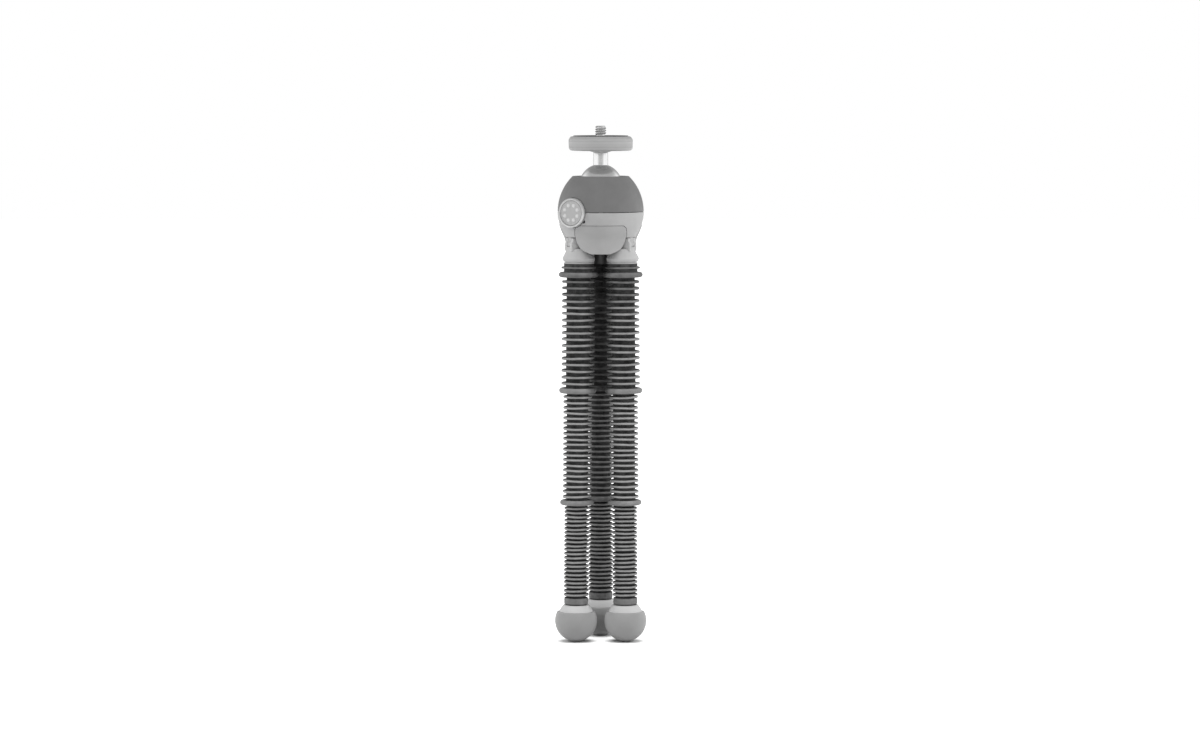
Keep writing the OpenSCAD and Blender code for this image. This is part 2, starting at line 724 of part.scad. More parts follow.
// Points down the outside of a ribbed stretch
function rib_points(low, high, ribs, rib_r, core_r) =
    let (pitch = (high - low) / (ribs - 1 + 2 * end_share))
    [for (n = [0 : ribs - 1]) let (z = high - pitch * (n + end_share))
        for (p = [[core_r, root_share], [rib_r, crest_share], [rib_r, -crest_share], [core_r, -root_share]])
            [p[0], z + p[1] * pitch / 2]];

// Points down the outside of a broad ring
function ring_points(low, high, r) =
    [[r - ring_bevel, high], [r, high - ring_bevel], [r, low + ring_bevel], [r - ring_bevel, low]];

module sleeve_upper_outline() polygon(concat(
    [[bore_r, sleeve_top_z], [top_collar_r, sleeve_top_z], [top_collar_r, flange_z + top_flange_t],
        [top_flange_r, flange_z + top_flange_t], [top_flange_r, flange_z], [top_collar_r, flange_z],
        [top_collar_r, ring_1_top_z]],
    ring_points(ring_1_z, ring_1_top_z, ring_1_r),
    [[upper_core_r, ring_1_z]],
    rib_points(ring_2_top_z, ring_1_z, upper_ribs, upper_rib_r, upper_core_r),
    [[upper_core_r, ring_2_top_z]],
    ring_points(ring_2_z + fit_gap, ring_2_top_z, ring_2_r),
    [[bore_r, ring_2_z + fit_gap]]));

module sleeve_middle_outline() polygon(concat(
    [[bore_r, ring_2_z], [middle_core_r, ring_2_z]],
    rib_points(ring_3_top_z, ring_2_z, middle_ribs, middle_rib_r, middle_core_r),
    [[middle_core_r, ring_3_top_z]],
    ring_points(ring_3_z + fit_gap, ring_3_top_z, ring_3_r),
    [[bore_r, ring_3_z + fit_gap]]));

module sleeve_lower_outline() polygon(concat(
    [[bore_r, ring_3_z], [lower_core_r, ring_3_z]],
    rib_points(cuff_top_z, ring_3_z, lower_ribs, lower_rib_r, lower_core_r),
    [[lower_core_r, cuff_top_z], [cuff_r - 0.4, cuff_top_z], [cuff_r, cuff_top_z - 0.4],
        [cuff_r, cuff_z], [bore_r, cuff_z]]));

module leg_sleeve_upper(i) color("gray") on_leg_axis(i) rotate_extrude() sleeve_upper_outline();

module leg_sleeve_middle(i) color("gray") on_leg_axis(i) rotate_extrude() sleeve_middle_outline();

module leg_sleeve_lower(i) color("gray") on_leg_axis(i) rotate_extrude() sleeve_lower_outline();

module leg_foot_core(i) color("gainsboro") on_leg_axis(i) difference() {
    union() {
        intersection() {
            translate([0, 0, neck_mid_z]) sphere(r = neck_ball_r);
            rod(big, neck_z, neck_top_z);
        }
        intersection() {
            translate([0, 0, foot_mid_z]) sphere(r = foot_r - foot_wall - fit_gap);
            rod(big, foot_core_z, neck_z + sink);
        }
    }
    rod(link_shaft_r + fit_gap, foot_stem_z - fit_gap, neck_top_z + 1);
}

module leg_foot_pad(i) color("gray") difference() {
    on_leg_axis(i) difference() {
        translate([0, 0, foot_mid_z]) sphere(r = foot_r, $fn = 128);
        rod(big, lip_z, big);
        intersection() {
            translate([0, 0, foot_mid_z]) sphere(r = foot_r - foot_wall);
            rod(big, foot_core_z - fit_gap, lip_z + 1);
        }
    }
    band(-big, 0);
}

upper_shell();
lower_shell();
core_frame();
hip_pins();
shell_screws();
clamp_cup();
seat_liner();
ball_stud();
camera_screw();
camera_plate();
plate_pad();
clamp_knob();
knob_cap();
clamp_screw();
clamp_wedge();
for (n = [0 : 2]) lobe_cover(n);
for (i = [0 : 2]) {
    leg = str("leg_", LEGS[i], "_");
    leg_shoulder(i);
    leg_sleeve_upper(i);
    leg_sleeve_middle(i);
    leg_sleeve_lower(i);
    leg_foot_core(i);
    leg_foot_pad(i);
    for (k = [1 : joint_count]) leg_link(i, k);
}
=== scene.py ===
import json
import math
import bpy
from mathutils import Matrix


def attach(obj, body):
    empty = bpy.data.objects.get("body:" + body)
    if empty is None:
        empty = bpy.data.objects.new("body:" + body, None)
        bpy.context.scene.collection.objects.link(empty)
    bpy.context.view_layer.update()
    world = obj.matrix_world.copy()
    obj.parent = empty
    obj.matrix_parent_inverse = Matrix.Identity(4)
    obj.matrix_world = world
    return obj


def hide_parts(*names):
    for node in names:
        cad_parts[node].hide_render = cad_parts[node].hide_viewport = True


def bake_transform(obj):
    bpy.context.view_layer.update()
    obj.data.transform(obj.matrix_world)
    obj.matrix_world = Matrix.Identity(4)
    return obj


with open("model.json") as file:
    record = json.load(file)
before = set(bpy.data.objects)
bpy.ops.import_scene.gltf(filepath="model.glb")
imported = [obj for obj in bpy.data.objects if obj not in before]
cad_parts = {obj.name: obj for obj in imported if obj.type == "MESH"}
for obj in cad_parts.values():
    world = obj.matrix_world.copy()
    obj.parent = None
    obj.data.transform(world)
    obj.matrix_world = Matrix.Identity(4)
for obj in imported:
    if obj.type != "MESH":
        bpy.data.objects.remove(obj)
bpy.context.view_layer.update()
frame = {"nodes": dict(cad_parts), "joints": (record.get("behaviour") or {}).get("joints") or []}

from types import SimpleNamespace

import bmesh
import bpy
import numpy as np
from bpy.props import FloatProperty, FloatVectorProperty, IntProperty, PointerProperty
from mathutils import Matrix, Vector

bl_info = {
    "name": "Bendable tripod",
    "version": (1, 0, 0),
    "blender": (4, 5, 0),
    "location": "3D View > Sidebar > Tripod",
    "description": "Dresses a small tripod with bendable legs, a ball head and a clamp knob",
    "category": "Object",
}

# The outlines below are drawn in millimetres, and each place turns them into metres.
MM = 0.001
JOINTS = {joint["name"]: joint for joint in frame["joints"]}
LEGS = ("a", "b", "c")
LOBES = ("front", "right", "left")
LOBE_ANGLES = {"front": -90, "right": 30, "left": 150}
PHOTO_SIZE = (1200, 755)
SENSOR_WIDTH = 36
# Farther out from the head's axis than any piece, in millimetres.
OUTSIDE = 40


# Places

HEAD = Matrix.Scale(MM, 4)


def joint_point(name):
    """Where a joint turns, in millimetres."""
    return Vector(JOINTS[name]["pos_m"]) / MM


def upright_place(origin, up, across):
    """A place whose Z axis runs along up and whose X axis leans to across."""
    up = up.normalized()
    side = up.cross(across).normalized()
    axes = Matrix((side.cross(up), side, up)).transposed().to_4x4()
    return HEAD @ Matrix.Translation(origin) @ axes


def leg_place(leg):
    """Up the leg's axis from the ground, with X pointing away from the head's axis."""
    first = joint_point(f"leg_{leg}_bend_1")
    last = joint_point(f"leg_{leg}_bend_7")
    up = (first - last).normalized()
    return upright_place(last - up * last.z, up, Vector((first.x, first.y, 0)))


def knob_place():
    """Out along the knob's axis from the head's axis, with X pointing down."""
    joint = JOINTS["knob_turn"]
    return upright_place(joint_point("knob_turn"), Vector(joint["axis"]), Vector((0, 0, -1)))


def face_place(angle):
    """A place whose Z axis points level out from the head's axis, with Y pointing up."""
    turn = math.radians(angle)
    outward = Vector((math.cos(turn), math.sin(turn), 0))
    return upright_place(Vector((0, 0, 0)), outward, Vector((-outward.y, outward.x, 0)))


def hip_place(leg):
    """At a leg's hip along its pin, with X pointing outward, and the sign of its Y axis's way up."""
    hip = joint_point(f"leg_{leg}_hip")
    outward = Vector((hip.x, hip.y, 0)).normalized()
    place = upright_place(hip, Vector(JOINTS[f"leg_{leg}_hip"]["axis"]), outward)
    return place, 1 if place.to_3x3().col[1].z > 0 else -1


def extent(node, place):
    """Lowest and highest place of a CAD node along a place's Z axis and its largest radius, in mm."""
    back = place.inverted()
    points = np.array([back @ v.co for v in frame["nodes"][node].data.vertices])
    reach = np.hypot(points[:, 0], points[:, 1]).max()
    return SimpleNamespace(low=points[:, 2].min(), high=points[:, 2].max(), radius=reach)


# Outlines and meshes

def rounded(points, steps=4):
    """A closed outline in which each (across, up, rounding) corner is an arc."""
    outline = []
    for n, (across, up, radius) in enumerate(points):
        corner = Vector((across, up))
        back = Vector(points[n - 1][:2]) - corner
        ahead = Vector(points[(n + 1) % len(points)][:2]) - corner
        if radius <= 0 or min(back.length, ahead.length) < 1e-6:
            outline.append(corner)
            continue
        angle = back.angle(ahead)
        sweep = math.pi - angle
        if sweep < 0.05:
            outline.append(corner)
            continue
        cut = min(radius / math.tan(angle / 2), back.length * 0.49, ahead.length * 0.49)
        start = corner + back.normalized() * cut
        end = corner + ahead.normalized() * cut
        middle_way = (back.normalized() + ahead.normalized()).normalized()
        centre = corner + middle_way * (cut / math.cos(angle / 2))
        for step in range(steps + 1):
            share = step / steps
            from_start = (start - centre) * math.sin((1 - share) * sweep)
            from_end = (end - centre) * math.sin(share * sweep)
            outline.append(centre + (from_start + from_end) / math.sin(sweep))
    return outline


def arc(across, up, radius, start, end, steps):
    """Points on an arc between two angles in degrees, as sharp corners of an outline."""
    angles = [math.radians(start + (end - start) * n / steps) for n in range(steps + 1)]
    return [(across + radius * math.cos(a), up + radius * math.sin(a), 0) for a in angles]


def subdivided(outline, longest):
    """The same closed outline with no edge longer than the given length."""
    finer = []
    for here, after in zip(outline, outline[1:] + outline[:1]):
        parts = max(1, math.ceil((after - here).length / longest))
        finer += [here.lerp(after, n / parts) for n in range(parts)]
    return finer


def turned(outline, segments=96):
    """A closed shape turned round the Z axis. Points on the axis become poles."""
    shape = bmesh.new()
    turns = [2 * math.pi * n / segments for n in range(segments)]
    rings = []
    for across, up in outline:
        if across < 1e-4:
            rings.append([shape.verts.new((0, 0, up))])
        else:
            ring = [(across * math.cos(t), across * math.sin(t), up) for t in turns]
            rings.append([shape.verts.new(point) for point in ring])
    for low, high in zip(rings, rings[1:] + rings[:1]):
        if len(low) == len(high) == 1:
            continue
        for n in range(segments):
            after = (n + 1) % segments
            corners = [low[n % len(low)], low[after % len(low)],
                       high[after % len(high)], high[n % len(high)]]
            shape.faces.new(list(dict.fromkeys(corners)))
    bmesh.ops.recalc_face_normals(shape, faces=shape.faces)
    return shape


def sharp_edges(shape, angle):
    """The edges at which a shape turns by more than an angle in degrees."""
    return [e for e in shape.edges if e.is_manifold and e.calc_face_angle(0) > math.radians(angle)]


def extruded(outline, low, high, bevel=0.0):
    """A closed shape with an outline in X and Y, between two heights, its edges bevelled round."""
    shape = bmesh.new()
    face = shape.faces.new([shape.verts.new((x, y, low)) for x, y in outline])
    top = bmesh.ops.extrude_face_region(shape, geom=[face])
    lifted = [v for v in top["geom"] if isinstance(v, bmesh.types.BMVert)]
    bmesh.ops.translate(shape, vec=(0, 0, high - low), verts=lifted)
    bmesh.ops.recalc_face_normals(shape, faces=shape.faces)
    if bevel:
        bmesh.ops.bevel(shape, geom=sharp_edges(shape, 40), offset=bevel, segments=3, profile=0.5,
                        affect="EDGES")
    return shape


def joined(*shapes):
    """Several closed shapes as one."""
    whole = bmesh.new()
    for shape in shapes:
        mesh = as_mesh("part_of_a_piece", shape)
        whole.from_mesh(mesh)
        bpy.data.meshes.remove(mesh)
    return whole


def carved(shape, tool, operation="DIFFERENCE"):
    """A shape with another cut out of it, or only what both have. The tool is used up too."""
    pair = [new_object("carving", as_mesh("carving", part)) for part in (shape, tool)]
    modifier = pair[0].modifiers.new("carve", "BOOLEAN")
    modifier.operation = operation
    modifier.solver = "EXACT"
    modifier.object = pair[1]
    mesh = evaluated_mesh(pair[0])
    modifier.object = None
    for thing in pair:
        bpy.data.objects.remove(thing)
    result = bmesh.new()
    result.from_mesh(mesh)
    bpy.data.meshes.remove(mesh)
    return result


def moved(shape, place):
    """A shape taken to its place, still in millimetres."""
    bmesh.ops.transform(shape, matrix=HEAD.inverted() @ place, verts=shape.verts)
    return shape


def softened(shape, width, angle):
    """A shape with its sharp edges rounded off a little."""
    bmesh.ops.bevel(shape, geom=sharp_edges(shape, angle), offset=width, segments=2, profile=0.5,
                    affect="EDGES", clamp_overlap=True)
    return shape


def as_mesh(name, shape):
    """A Blender mesh made from a shape, which is then used up."""
    mesh = bpy.data.meshes.new(name)
    shape.to_mesh(mesh)
    shape.free()
    return mesh


def new_object(name, data):
    """An object in the scene."""
    thing = bpy.data.objects.new(name, data)
    bpy.context.scene.collection.objects.link(thing)
    return thing


def evaluated_mesh(thing):
    """The plain mesh that an object's modifiers make."""
    whole = thing.evaluated_get(bpy.context.evaluated_depsgraph_get())
    return bpy.data.meshes.new_from_object(whole)


def finished(name, mesh, place, sharp=35):
    """The piece's object at the origin, with its place in its mesh, smooth but for its sharp edges."""
    mesh.transform(place)
    mesh.polygons.foreach_set("use_smooth", [True] * len(mesh.polygons))
    mesh.set_sharp_from_angle(angle=math.radians(sharp))
    piece = new_object(name, mesh)
    return piece


def solid_piece(name, shape, material, place=HEAD, sharp=35):
    """A finished piece in one material."""
    mesh = as_mesh(name, shape)
    mesh.materials.append(finish(material))
    return finished(name, mesh, place, sharp)


def dress(node, material):
    """Gives a CAD node that stays as it is its surface."""
    for holder in frame["nodes"][node].material_slots:
        holder.material = finish(material)


# Node trees

def add_node(tree, kind, inputs=None, **settings):
    """A node with its settings. Each input gets a value, or a link from another node's output."""
    node = tree.nodes.new(kind)
    for name, value in settings.items():
        setattr(node, name, value)
    for key, value in (inputs or {}).items():
        if isinstance(value, bpy.types.NodeSocket):
            tree.links.new(value, node.inputs[key])
        else:
            node.inputs[key].default_value = value
    return node


def add_math(tree, operation, *values, **settings):
    """A Math node's result."""
    inputs = dict(enumerate(values))
    return add_node(tree, "ShaderNodeMath", inputs, operation=operation, **settings).outputs[0]


def ranged(tree, value, low, high, start=0.0, end=1.0, curve="LINEAR"):
    """Goes from low to high where a value goes from start to end."""
    return add_node(tree, "ShaderNodeMapRange", {
        "Value": value, "From Min": start, "From Max": end, "To Min": low, "To Max": high},
        interpolation_type=curve).outputs[0]


def from_axis(tree, parts):
    """How far a place is from the Z axis, from its separated X, Y and Z."""
    squares = [add_math(tree, "MULTIPLY", part, part) for part in (parts[0], parts[1])]
    return add_math(tree, "SQRT", add_math(tree, "ADD", *squares))


def add_sockets(tree, in_out, sockets):
    """Named inputs or outputs of a group, each with its kind and its default."""
    for name, kind, default in sockets:
        socket = tree.interface.new_socket(name, in_out=in_out, socket_type="NodeSocket" + kind)
        if default is not None:
            socket.default_value = default


def grown(name, shape, tree, values):
    """The plain mesh that a Geometry Nodes tree makes from a shape."""
    maker = new_object(name, as_mesh(name, shape))
    modifier = maker.modifiers.new(tree.name, "NODES")
    modifier.node_group = tree
    for item in tree.interface.items_tree:
        if item.item_type == "SOCKET" and item.in_out == "INPUT" and item.name in values:
            modifier[item.identifier] = values[item.name]
    mesh = evaluated_mesh(maker)
    modifier.node_group = None
    bpy.data.objects.remove(maker)
    return mesh


def rib_tree():
    """Thin rounded ribs down a sleeve, each a little tilted and wavy as moulded rubber is."""
    tree = bpy.data.node_groups.new("rubber_ribs", "GeometryNodeTree")
    add_sockets(tree, "INPUT", [
        ("Sleeve", "Geometry", None), ("Ribs", "Int", 8), ("First height", "Float", 100.0),
        ("Pitch", "Float", 3.0), ("Radius", "Float", 9.0), ("Root radius", "Float", 6.0),
        ("Thickness", "Float", 1.2), ("Rounding", "Float", 0.5), ("Tilt", "Float", 0.015),
        ("Wave", "Float", 0.2), ("Seed", "Int", 1), ("Material", "Material", None)])
    add_sockets(tree, "OUTPUT", [("Sleeve", "Geometry", None)])
    given = tree.nodes.new("NodeGroupInput").outputs
    radius, root = given["Radius"], given["Root radius"]
    width = add_math(tree, "SUBTRACT", radius, root)
    middle = add_math(tree, "MULTIPLY", add_math(tree, "ADD", radius, root), 0.5)
    start = add_node(tree, "ShaderNodeCombineXYZ", {"Z": given["First height"]})
    downward = add_math(tree, "MULTIPLY", given["Pitch"], -1.0)
    step = add_node(tree, "ShaderNodeCombineXYZ", {"Z": downward})
    heights = add_node(tree, "GeometryNodeMeshLine", {
        "Count": given["Ribs"], "Start Location": start.outputs[0], "Offset": step.outputs[0]})
    circle = add_node(tree, "GeometryNodeCurvePrimitiveCircle", {"Resolution": 56, "Radius": middle})
    bar = add_node(tree, "GeometryNodeCurvePrimitiveQuadrilateral", {
        "Width": width, "Height": given["Thickness"]})
    round_bar = add_node(tree, "GeometryNodeFilletCurve", {
        "Curve": bar.outputs[0], "Count": 3, "Radius": given["Rounding"], "Limit Radius": True},
        mode="POLY")
    rib = add_node(tree, "GeometryNodeCurveToMesh", {
        "Curve": circle.outputs[0], "Profile Curve": round_bar.outputs[0]})
    most = add_node(tree, "ShaderNodeCombineXYZ", {"X": given["Tilt"], "Y": given["Tilt"]})
    least = add_node(tree, "ShaderNodeVectorMath", {
        0: most.outputs[0], "Scale": -1.0}, operation="SCALE")
    lean = add_node(tree, "FunctionNodeRandomValue", {
        0: least.outputs[0], 1: most.outputs[0], "Seed": given["Seed"]}, data_type="FLOAT_VECTOR")
    copies = add_node(tree, "GeometryNodeInstanceOnPoints", {
        "Points": heights.outputs[0], "Instance": rib.outputs[0], "Rotation": lean.outputs[0]})
    ribs = add_node(tree, "GeometryNodeRealizeInstances", {0: copies.outputs[0]})
    place = tree.nodes.new("GeometryNodeInputPosition")
    waves = add_node(tree, "ShaderNodeTexNoise", {
        "Vector": place.outputs[0], "W": given["Seed"], "Scale": 0.13, "Detail": 1.0},
        noise_dimensions="4D")
    swing = add_math(tree, "MULTIPLY", add_math(tree, "SUBTRACT", waves.outputs[0], 0.5),
                     add_math(tree, "MULTIPLY", given["Wave"], 2.0))
    offset = add_node(tree, "ShaderNodeCombineXYZ", {"Z": swing})
    wavy = add_node(tree, "GeometryNodeSetPosition", {
        "Geometry": ribs.outputs[0], "Offset": offset.outputs[0]})
    end_tree(tree, wavy.outputs[0], given["Sleeve"], given["Material"])
    return tree


def end_tree(tree, made, given, material):
    """What the tree made and what it was given, as one real mesh in the given material."""
    both = add_node(tree, "GeometryNodeJoinGeometry", {0: made})
    tree.links.new(given, both.inputs[0])
    real = add_node(tree, "GeometryNodeRealizeInstances", {0: both.outputs[0]})
    coloured = add_node(tree, "GeometryNodeSetMaterial", {
        "Geometry": real.outputs[0], "Material": material})
    add_node(tree, "NodeGroupOutput", {0: coloured.outputs[0]})


def thread_tree():
    """A screw thread that winds up a shank and fades out at both ends."""
    tree = bpy.data.node_groups.new("screw_thread", "GeometryNodeTree")
    add_sockets(tree, "INPUT", [
        ("Shank", "Geometry", None), ("Turns", "Float", 5.0), ("Start height", "Float", 0.0),
        ("Pitch", "Float", 1.27), ("Root radius", "Float", 2.6), ("Depth", "Float", 0.55),
        ("Material", "Material", None)])
    add_sockets(tree, "OUTPUT", [("Screw", "Geometry", None)])
    given = tree.nodes.new("NodeGroupInput").outputs
    height = add_math(tree, "MULTIPLY", given["Turns"], given["Pitch"])
    helix = add_node(tree, "GeometryNodeCurveSpiral", {
        "Resolution": 40, "Rotations": given["Turns"], "Start Radius": given["Root radius"],
        "End Radius": given["Root radius"], "Height": height, "Reverse": True})
    upright = add_node(tree, "GeometryNodeSetCurveNormal", {"Curve": helix.outputs[0]}, mode="Z_UP")
    most_of_half_a_turn = 0.42
    half_rise = add_math(tree, "MULTIPLY", given["Pitch"], most_of_half_a_turn)
    ridge = add_node(tree, "GeometryNodeCurvePrimitiveQuadrilateral", {
        "Width": add_math(tree, "MULTIPLY", given["Depth"], 2.0),
        "Bottom Height": half_rise, "Top Height": half_rise}, mode="KITE")
    round_ridge = add_node(tree, "GeometryNodeFilletCurve", {
        "Curve": ridge.outputs[0], "Count": 2, "Radius": 0.06, "Limit Radius": True}, mode="POLY")
    along = tree.nodes.new("GeometryNodeSplineParameter").outputs["Factor"]
    to_end = add_math(tree, "MINIMUM", along, add_math(tree, "SUBTRACT", 1.0, along))
    turns_to_full = add_math(tree, "MULTIPLY", given["Turns"], 3.0)
    fade = add_math(tree, "MULTIPLY", to_end, turns_to_full, use_clamp=True)
    kept = add_math(tree, "MAXIMUM", fade, 0.05)
    wound = add_node(tree, "GeometryNodeCurveToMesh", {
        "Curve": upright.outputs[0], "Profile Curve": round_ridge.outputs[0], "Scale": kept,
        "Fill Caps": True})
    lift = add_node(tree, "ShaderNodeCombineXYZ", {"Z": given["Start height"]})
    placed = add_node(tree, "GeometryNodeTransform", {
        "Geometry": wound.outputs[0], "Translation": lift.outputs[0]})
    end_tree(tree, placed.outputs[0], given["Shank"], given["Material"])
    return tree


def pip_tree():
    """Low domed pips in a ring, beside the shape that they belong to."""
    tree = bpy.data.node_groups.new("ring_of_pips", "GeometryNodeTree")
    add_sockets(tree, "INPUT", [
        ("Shape", "Geometry", None), ("Pips", "Int", 8), ("Ring radius", "Float", 4.0),
        ("Pip radius", "Float", 0.8), ("Height", "Float", 0.0), ("Flatness", "Float", 0.3),
        ("Material", "Material", None)])
    add_sockets(tree, "OUTPUT", [("Shape", "Geometry", None)])
    given = tree.nodes.new("NodeGroupInput").outputs
    ring = add_node(tree, "GeometryNodeMeshCircle", {
        "Vertices": given["Pips"], "Radius": given["Ring radius"]})
    half_step = add_math(tree, "DIVIDE", math.pi, given["Pips"])
    turn = add_node(tree, "ShaderNodeCombineXYZ", {"Z": half_step})
    lift = add_node(tree, "ShaderNodeCombineXYZ", {"Z": given["Height"]})
    placed = add_node(tree, "GeometryNodeTransform", {
        "Geometry": ring.outputs[0], "Translation": lift.outputs[0], "Rotation": turn.outputs[0]})
    dome = add_node(tree, "GeometryNodeMeshUVSphere", {
        "Segments": 20, "Rings": 12, "Radius": given["Pip radius"]})
    flat = add_node(tree, "ShaderNodeCombineXYZ", {"X": 1.0, "Y": 1.0, "Z": given["Flatness"]})
    copies = add_node(tree, "GeometryNodeInstanceOnPoints", {
        "Points": placed.outputs[0], "Instance": dome.outputs["Mesh"], "Scale": flat.outputs[0]})
    end_tree(tree, copies.outputs[0], given["Shape"], given["Material"])
    return tree


# Surfaces

def grey(level):
    """The colour that shows as a grey of this level, from 0 to 255."""
    share = level / 255
    value = share / 12.92 if share < 0.04 else ((share + 0.055) / 1.055) ** 2.4
    return (value, value, value, 1.0)


def shader_group(name, inputs, outputs):
    """A shader node group with its sockets, and what comes in through them."""
    tree = bpy.data.node_groups.new(name, "ShaderNodeTree")
    add_sockets(tree, "INPUT", inputs)
    add_sockets(tree, "OUTPUT", outputs)
    return tree, tree.nodes.new("NodeGroupInput").outputs


def moulded_grain():
    """The fine spark-eroded grain of a moulding, and the slow mottling of its colour."""
    tree, given = shader_group("moulded_grain", [
        ("Coordinates", "Vector", None), ("Grain per metre", "Float", 4000.0),
        ("Mottle per metre", "Float", 90.0)], [("Height", "Float", None), ("Tone", "Float", None)])
    fine = add_node(tree, "ShaderNodeTexNoise", {
        "Vector": given["Coordinates"], "Scale": given["Grain per metre"], "Detail": 2.0})
    coarse = add_node(tree, "ShaderNodeTexNoise", {
        "Vector": given["Coordinates"], "Scale": given["Mottle per metre"], "Detail": 5.0,
        "Roughness": 0.6})
    tone = ranged(tree, coarse.outputs[0], 0.0, 1.0, 0.3, 0.7)
    add_node(tree, "NodeGroupOutput", {"Height": fine.outputs[0], "Tone": tone})
    return tree


def turned_lines():
    """The fine rings that a lathe leaves on sides and faces, round the Z axis of the coordinates."""
    tree, given = shader_group("turned_lines", [
        ("Coordinates", "Vector", None), ("Lines per metre", "Float", 3000.0)],
        [("Height", "Float", None), ("Tone", "Float", None)])
    parts = add_node(tree, "ShaderNodeSeparateXYZ", {0: given["Coordinates"]}).outputs
    way = add_math(tree, "ADD", from_axis(tree, parts), parts[2])
    per_metre = given["Lines per metre"]
    lines = add_node(tree, "ShaderNodeTexNoise", {
        "W": way, "Scale": per_metre, "Detail": 3.0, "Roughness": 0.7}, noise_dimensions="1D")
    bands = add_node(tree, "ShaderNodeTexNoise", {
        "W": way, "Scale": add_math(tree, "MULTIPLY", per_metre, 0.25), "Detail": 2.0},
        noise_dimensions="1D")
    tone = ranged(tree, bands.outputs[0], 0.0, 1.0, 0.3, 0.7)
    add_node(tree, "NodeGroupOutput", {"Height": lines.outputs[0], "Tone": tone})
    return tree


def handling_marks():
    """Faint smudges and rubbed spots, as a mask."""
    tree, given = shader_group("handling_marks", [
        ("Coordinates", "Vector", None), ("Marks per metre", "Float", 150.0)],
        [("Mask", "Float", None)])
    warped = add_node(tree, "ShaderNodeTexNoise", {
        "Vector": given["Coordinates"], "Scale": given["Marks per metre"], "Detail": 6.0,
        "Distortion": 1.2})
    mask = ranged(tree, warped.outputs[0], 0.0, 1.0, 0.48, 0.72)
    add_node(tree, "NodeGroupOutput", {"Mask": mask})
    return tree


GROUPS = {}


def group_output(tree, maker, inputs, output):
    """One output of a shared group that is placed in a material with its own values."""
    if maker.__name__ not in GROUPS:
        GROUPS[maker.__name__] = maker()
    return add_node(tree, "ShaderNodeGroup", inputs, node_tree=GROUPS[maker.__name__]).outputs[output]


def new_surface(name):
    """A material with its tree, its shader and its Object coordinates."""
    material = bpy.data.materials.new(name)
    material.use_nodes = True
    tree = material.node_tree
    tree.nodes.clear()
    shader = tree.nodes.new("ShaderNodeBsdfPrincipled")
    add_node(tree, "ShaderNodeOutputMaterial", {"Surface": shader.outputs[0]})
    place = tree.nodes.new("ShaderNodeTexCoord").outputs["Object"]
    return material, tree, shader, place


def mixed_colour(tree, share, first, second):
    """A colour between two, by a share that changes over the surface."""
    colour_a, colour_b, mixed = 6, 7, 2
    mix = add_node(tree, "ShaderNodeMix", {
        "Factor": share, colour_a: first, colour_b: second}, data_type="RGBA")
    return mix.outputs[mixed]


def coloured(tree, shader, colour, roughness):
    """Feeds a colour and a roughness into the shader."""
    tree.links.new(colour, shader.inputs["Base Color"])
    tree.links.new(roughness, shader.inputs["Roughness"])


def bumped(tree, shader, height, distance):
    """Feeds a height into the shader's normal."""
    bump = add_node(tree, "ShaderNodeBump", {"Height": height, "Distance": distance, "Strength": 1.0})
    tree.links.new(bump.outputs[0], shader.inputs["Normal"])


def moulded_plastic(name, level, contrast=5, rough=(0.42, 0.56), depth=0.00003, grain=3500.0):
    """Satin moulded plastic with a fine grain and rubbed spots."""
    material, tree, shader, place = new_surface(name)
    where = {"Coordinates": place, "Grain per metre": grain}
    height = group_output(tree, moulded_grain, where, "Height")
    tone = group_output(tree, moulded_grain, where, "Tone")
    marks = group_output(tree, handling_marks, {"Coordinates": place}, "Mask")
    colour = mixed_colour(tree, tone, grey(level - contrast), grey(level + contrast))
    coloured(tree, shader, colour, ranged(tree, marks, rough[1], rough[0]))
    bumped(tree, shader, height, depth)
    return material


def sleeve_rubber(name):
    """Matt rubber, lighter on the ribs' rims and dark in the grooves: partly its own two tones, partly
    painted shade in the grooves.
    """
    material, tree, shader, place = new_surface(name)
    colours = bpy.context.scene.tripod_finishes
    height = group_output(tree, moulded_grain, {
        "Coordinates": place, "Grain per metre": 5000.0}, "Height")
    tone = group_output(tree, moulded_grain, {"Coordinates": place, "Mottle per metre": 240.0}, "Tone")
    crest = add_node(tree, "ShaderNodeAttribute", attribute_name="crest").outputs["Fac"]
    # The mix between the groove and rim colours carries painted shade along with the rubber's own
    # tones.
    rubber_and_painted_light = add_math(tree, "ADD", crest, ranged(tree, tone, -0.12, 0.12), use_clamp=True)
    groove, rim = tuple(colours.rubber_groove) + (1,), tuple(colours.rubber_rim) + (1,)
    coloured(tree, shader, mixed_colour(tree, rubber_and_painted_light, groove, rim), ranged(tree, tone, 0.62, 0.78))
    shader.inputs["Specular IOR Level"].default_value = 0.2
    bumped(tree, shader, height, 0.00003)
    return material


def foot_rubber(name):
    """Soft matt rubber with a fine grain, made lighter towards its outline by a painted sheen."""
    material, tree, shader, place = new_surface(name)
    level = tuple(bpy.context.scene.tripod_finishes.foot_rubber)
    darker, lighter, rubber_and_painted_light = (tuple(c * share for c in level) + (1,) for share in (0.92, 1.06, 1.6))
    height = group_output(tree, moulded_grain, {
        "Coordinates": place, "Grain per metre": 2600.0}, "Height")
    tone = group_output(tree, moulded_grain, {"Coordinates": place, "Mottle per metre": 60.0}, "Tone")
    # Painted sheen: the colour turns lighter where the surface turns away from the view.
    slant = add_node(tree, "ShaderNodeLayerWeight", {"Blend": 0.5}).outputs["Facing"]
    edge = ranged(tree, add_math(tree, "POWER", slant, 2.0), 0.0, 0.85)
    clean = mixed_colour(tree, tone, darker, lighter)
    coloured(tree, shader, mixed_colour(tree, edge, clean, rubber_and_painted_light), ranged(tree, tone, 0.66, 0.8))
    bumped(tree, shader, height, 0.00004)
    return material


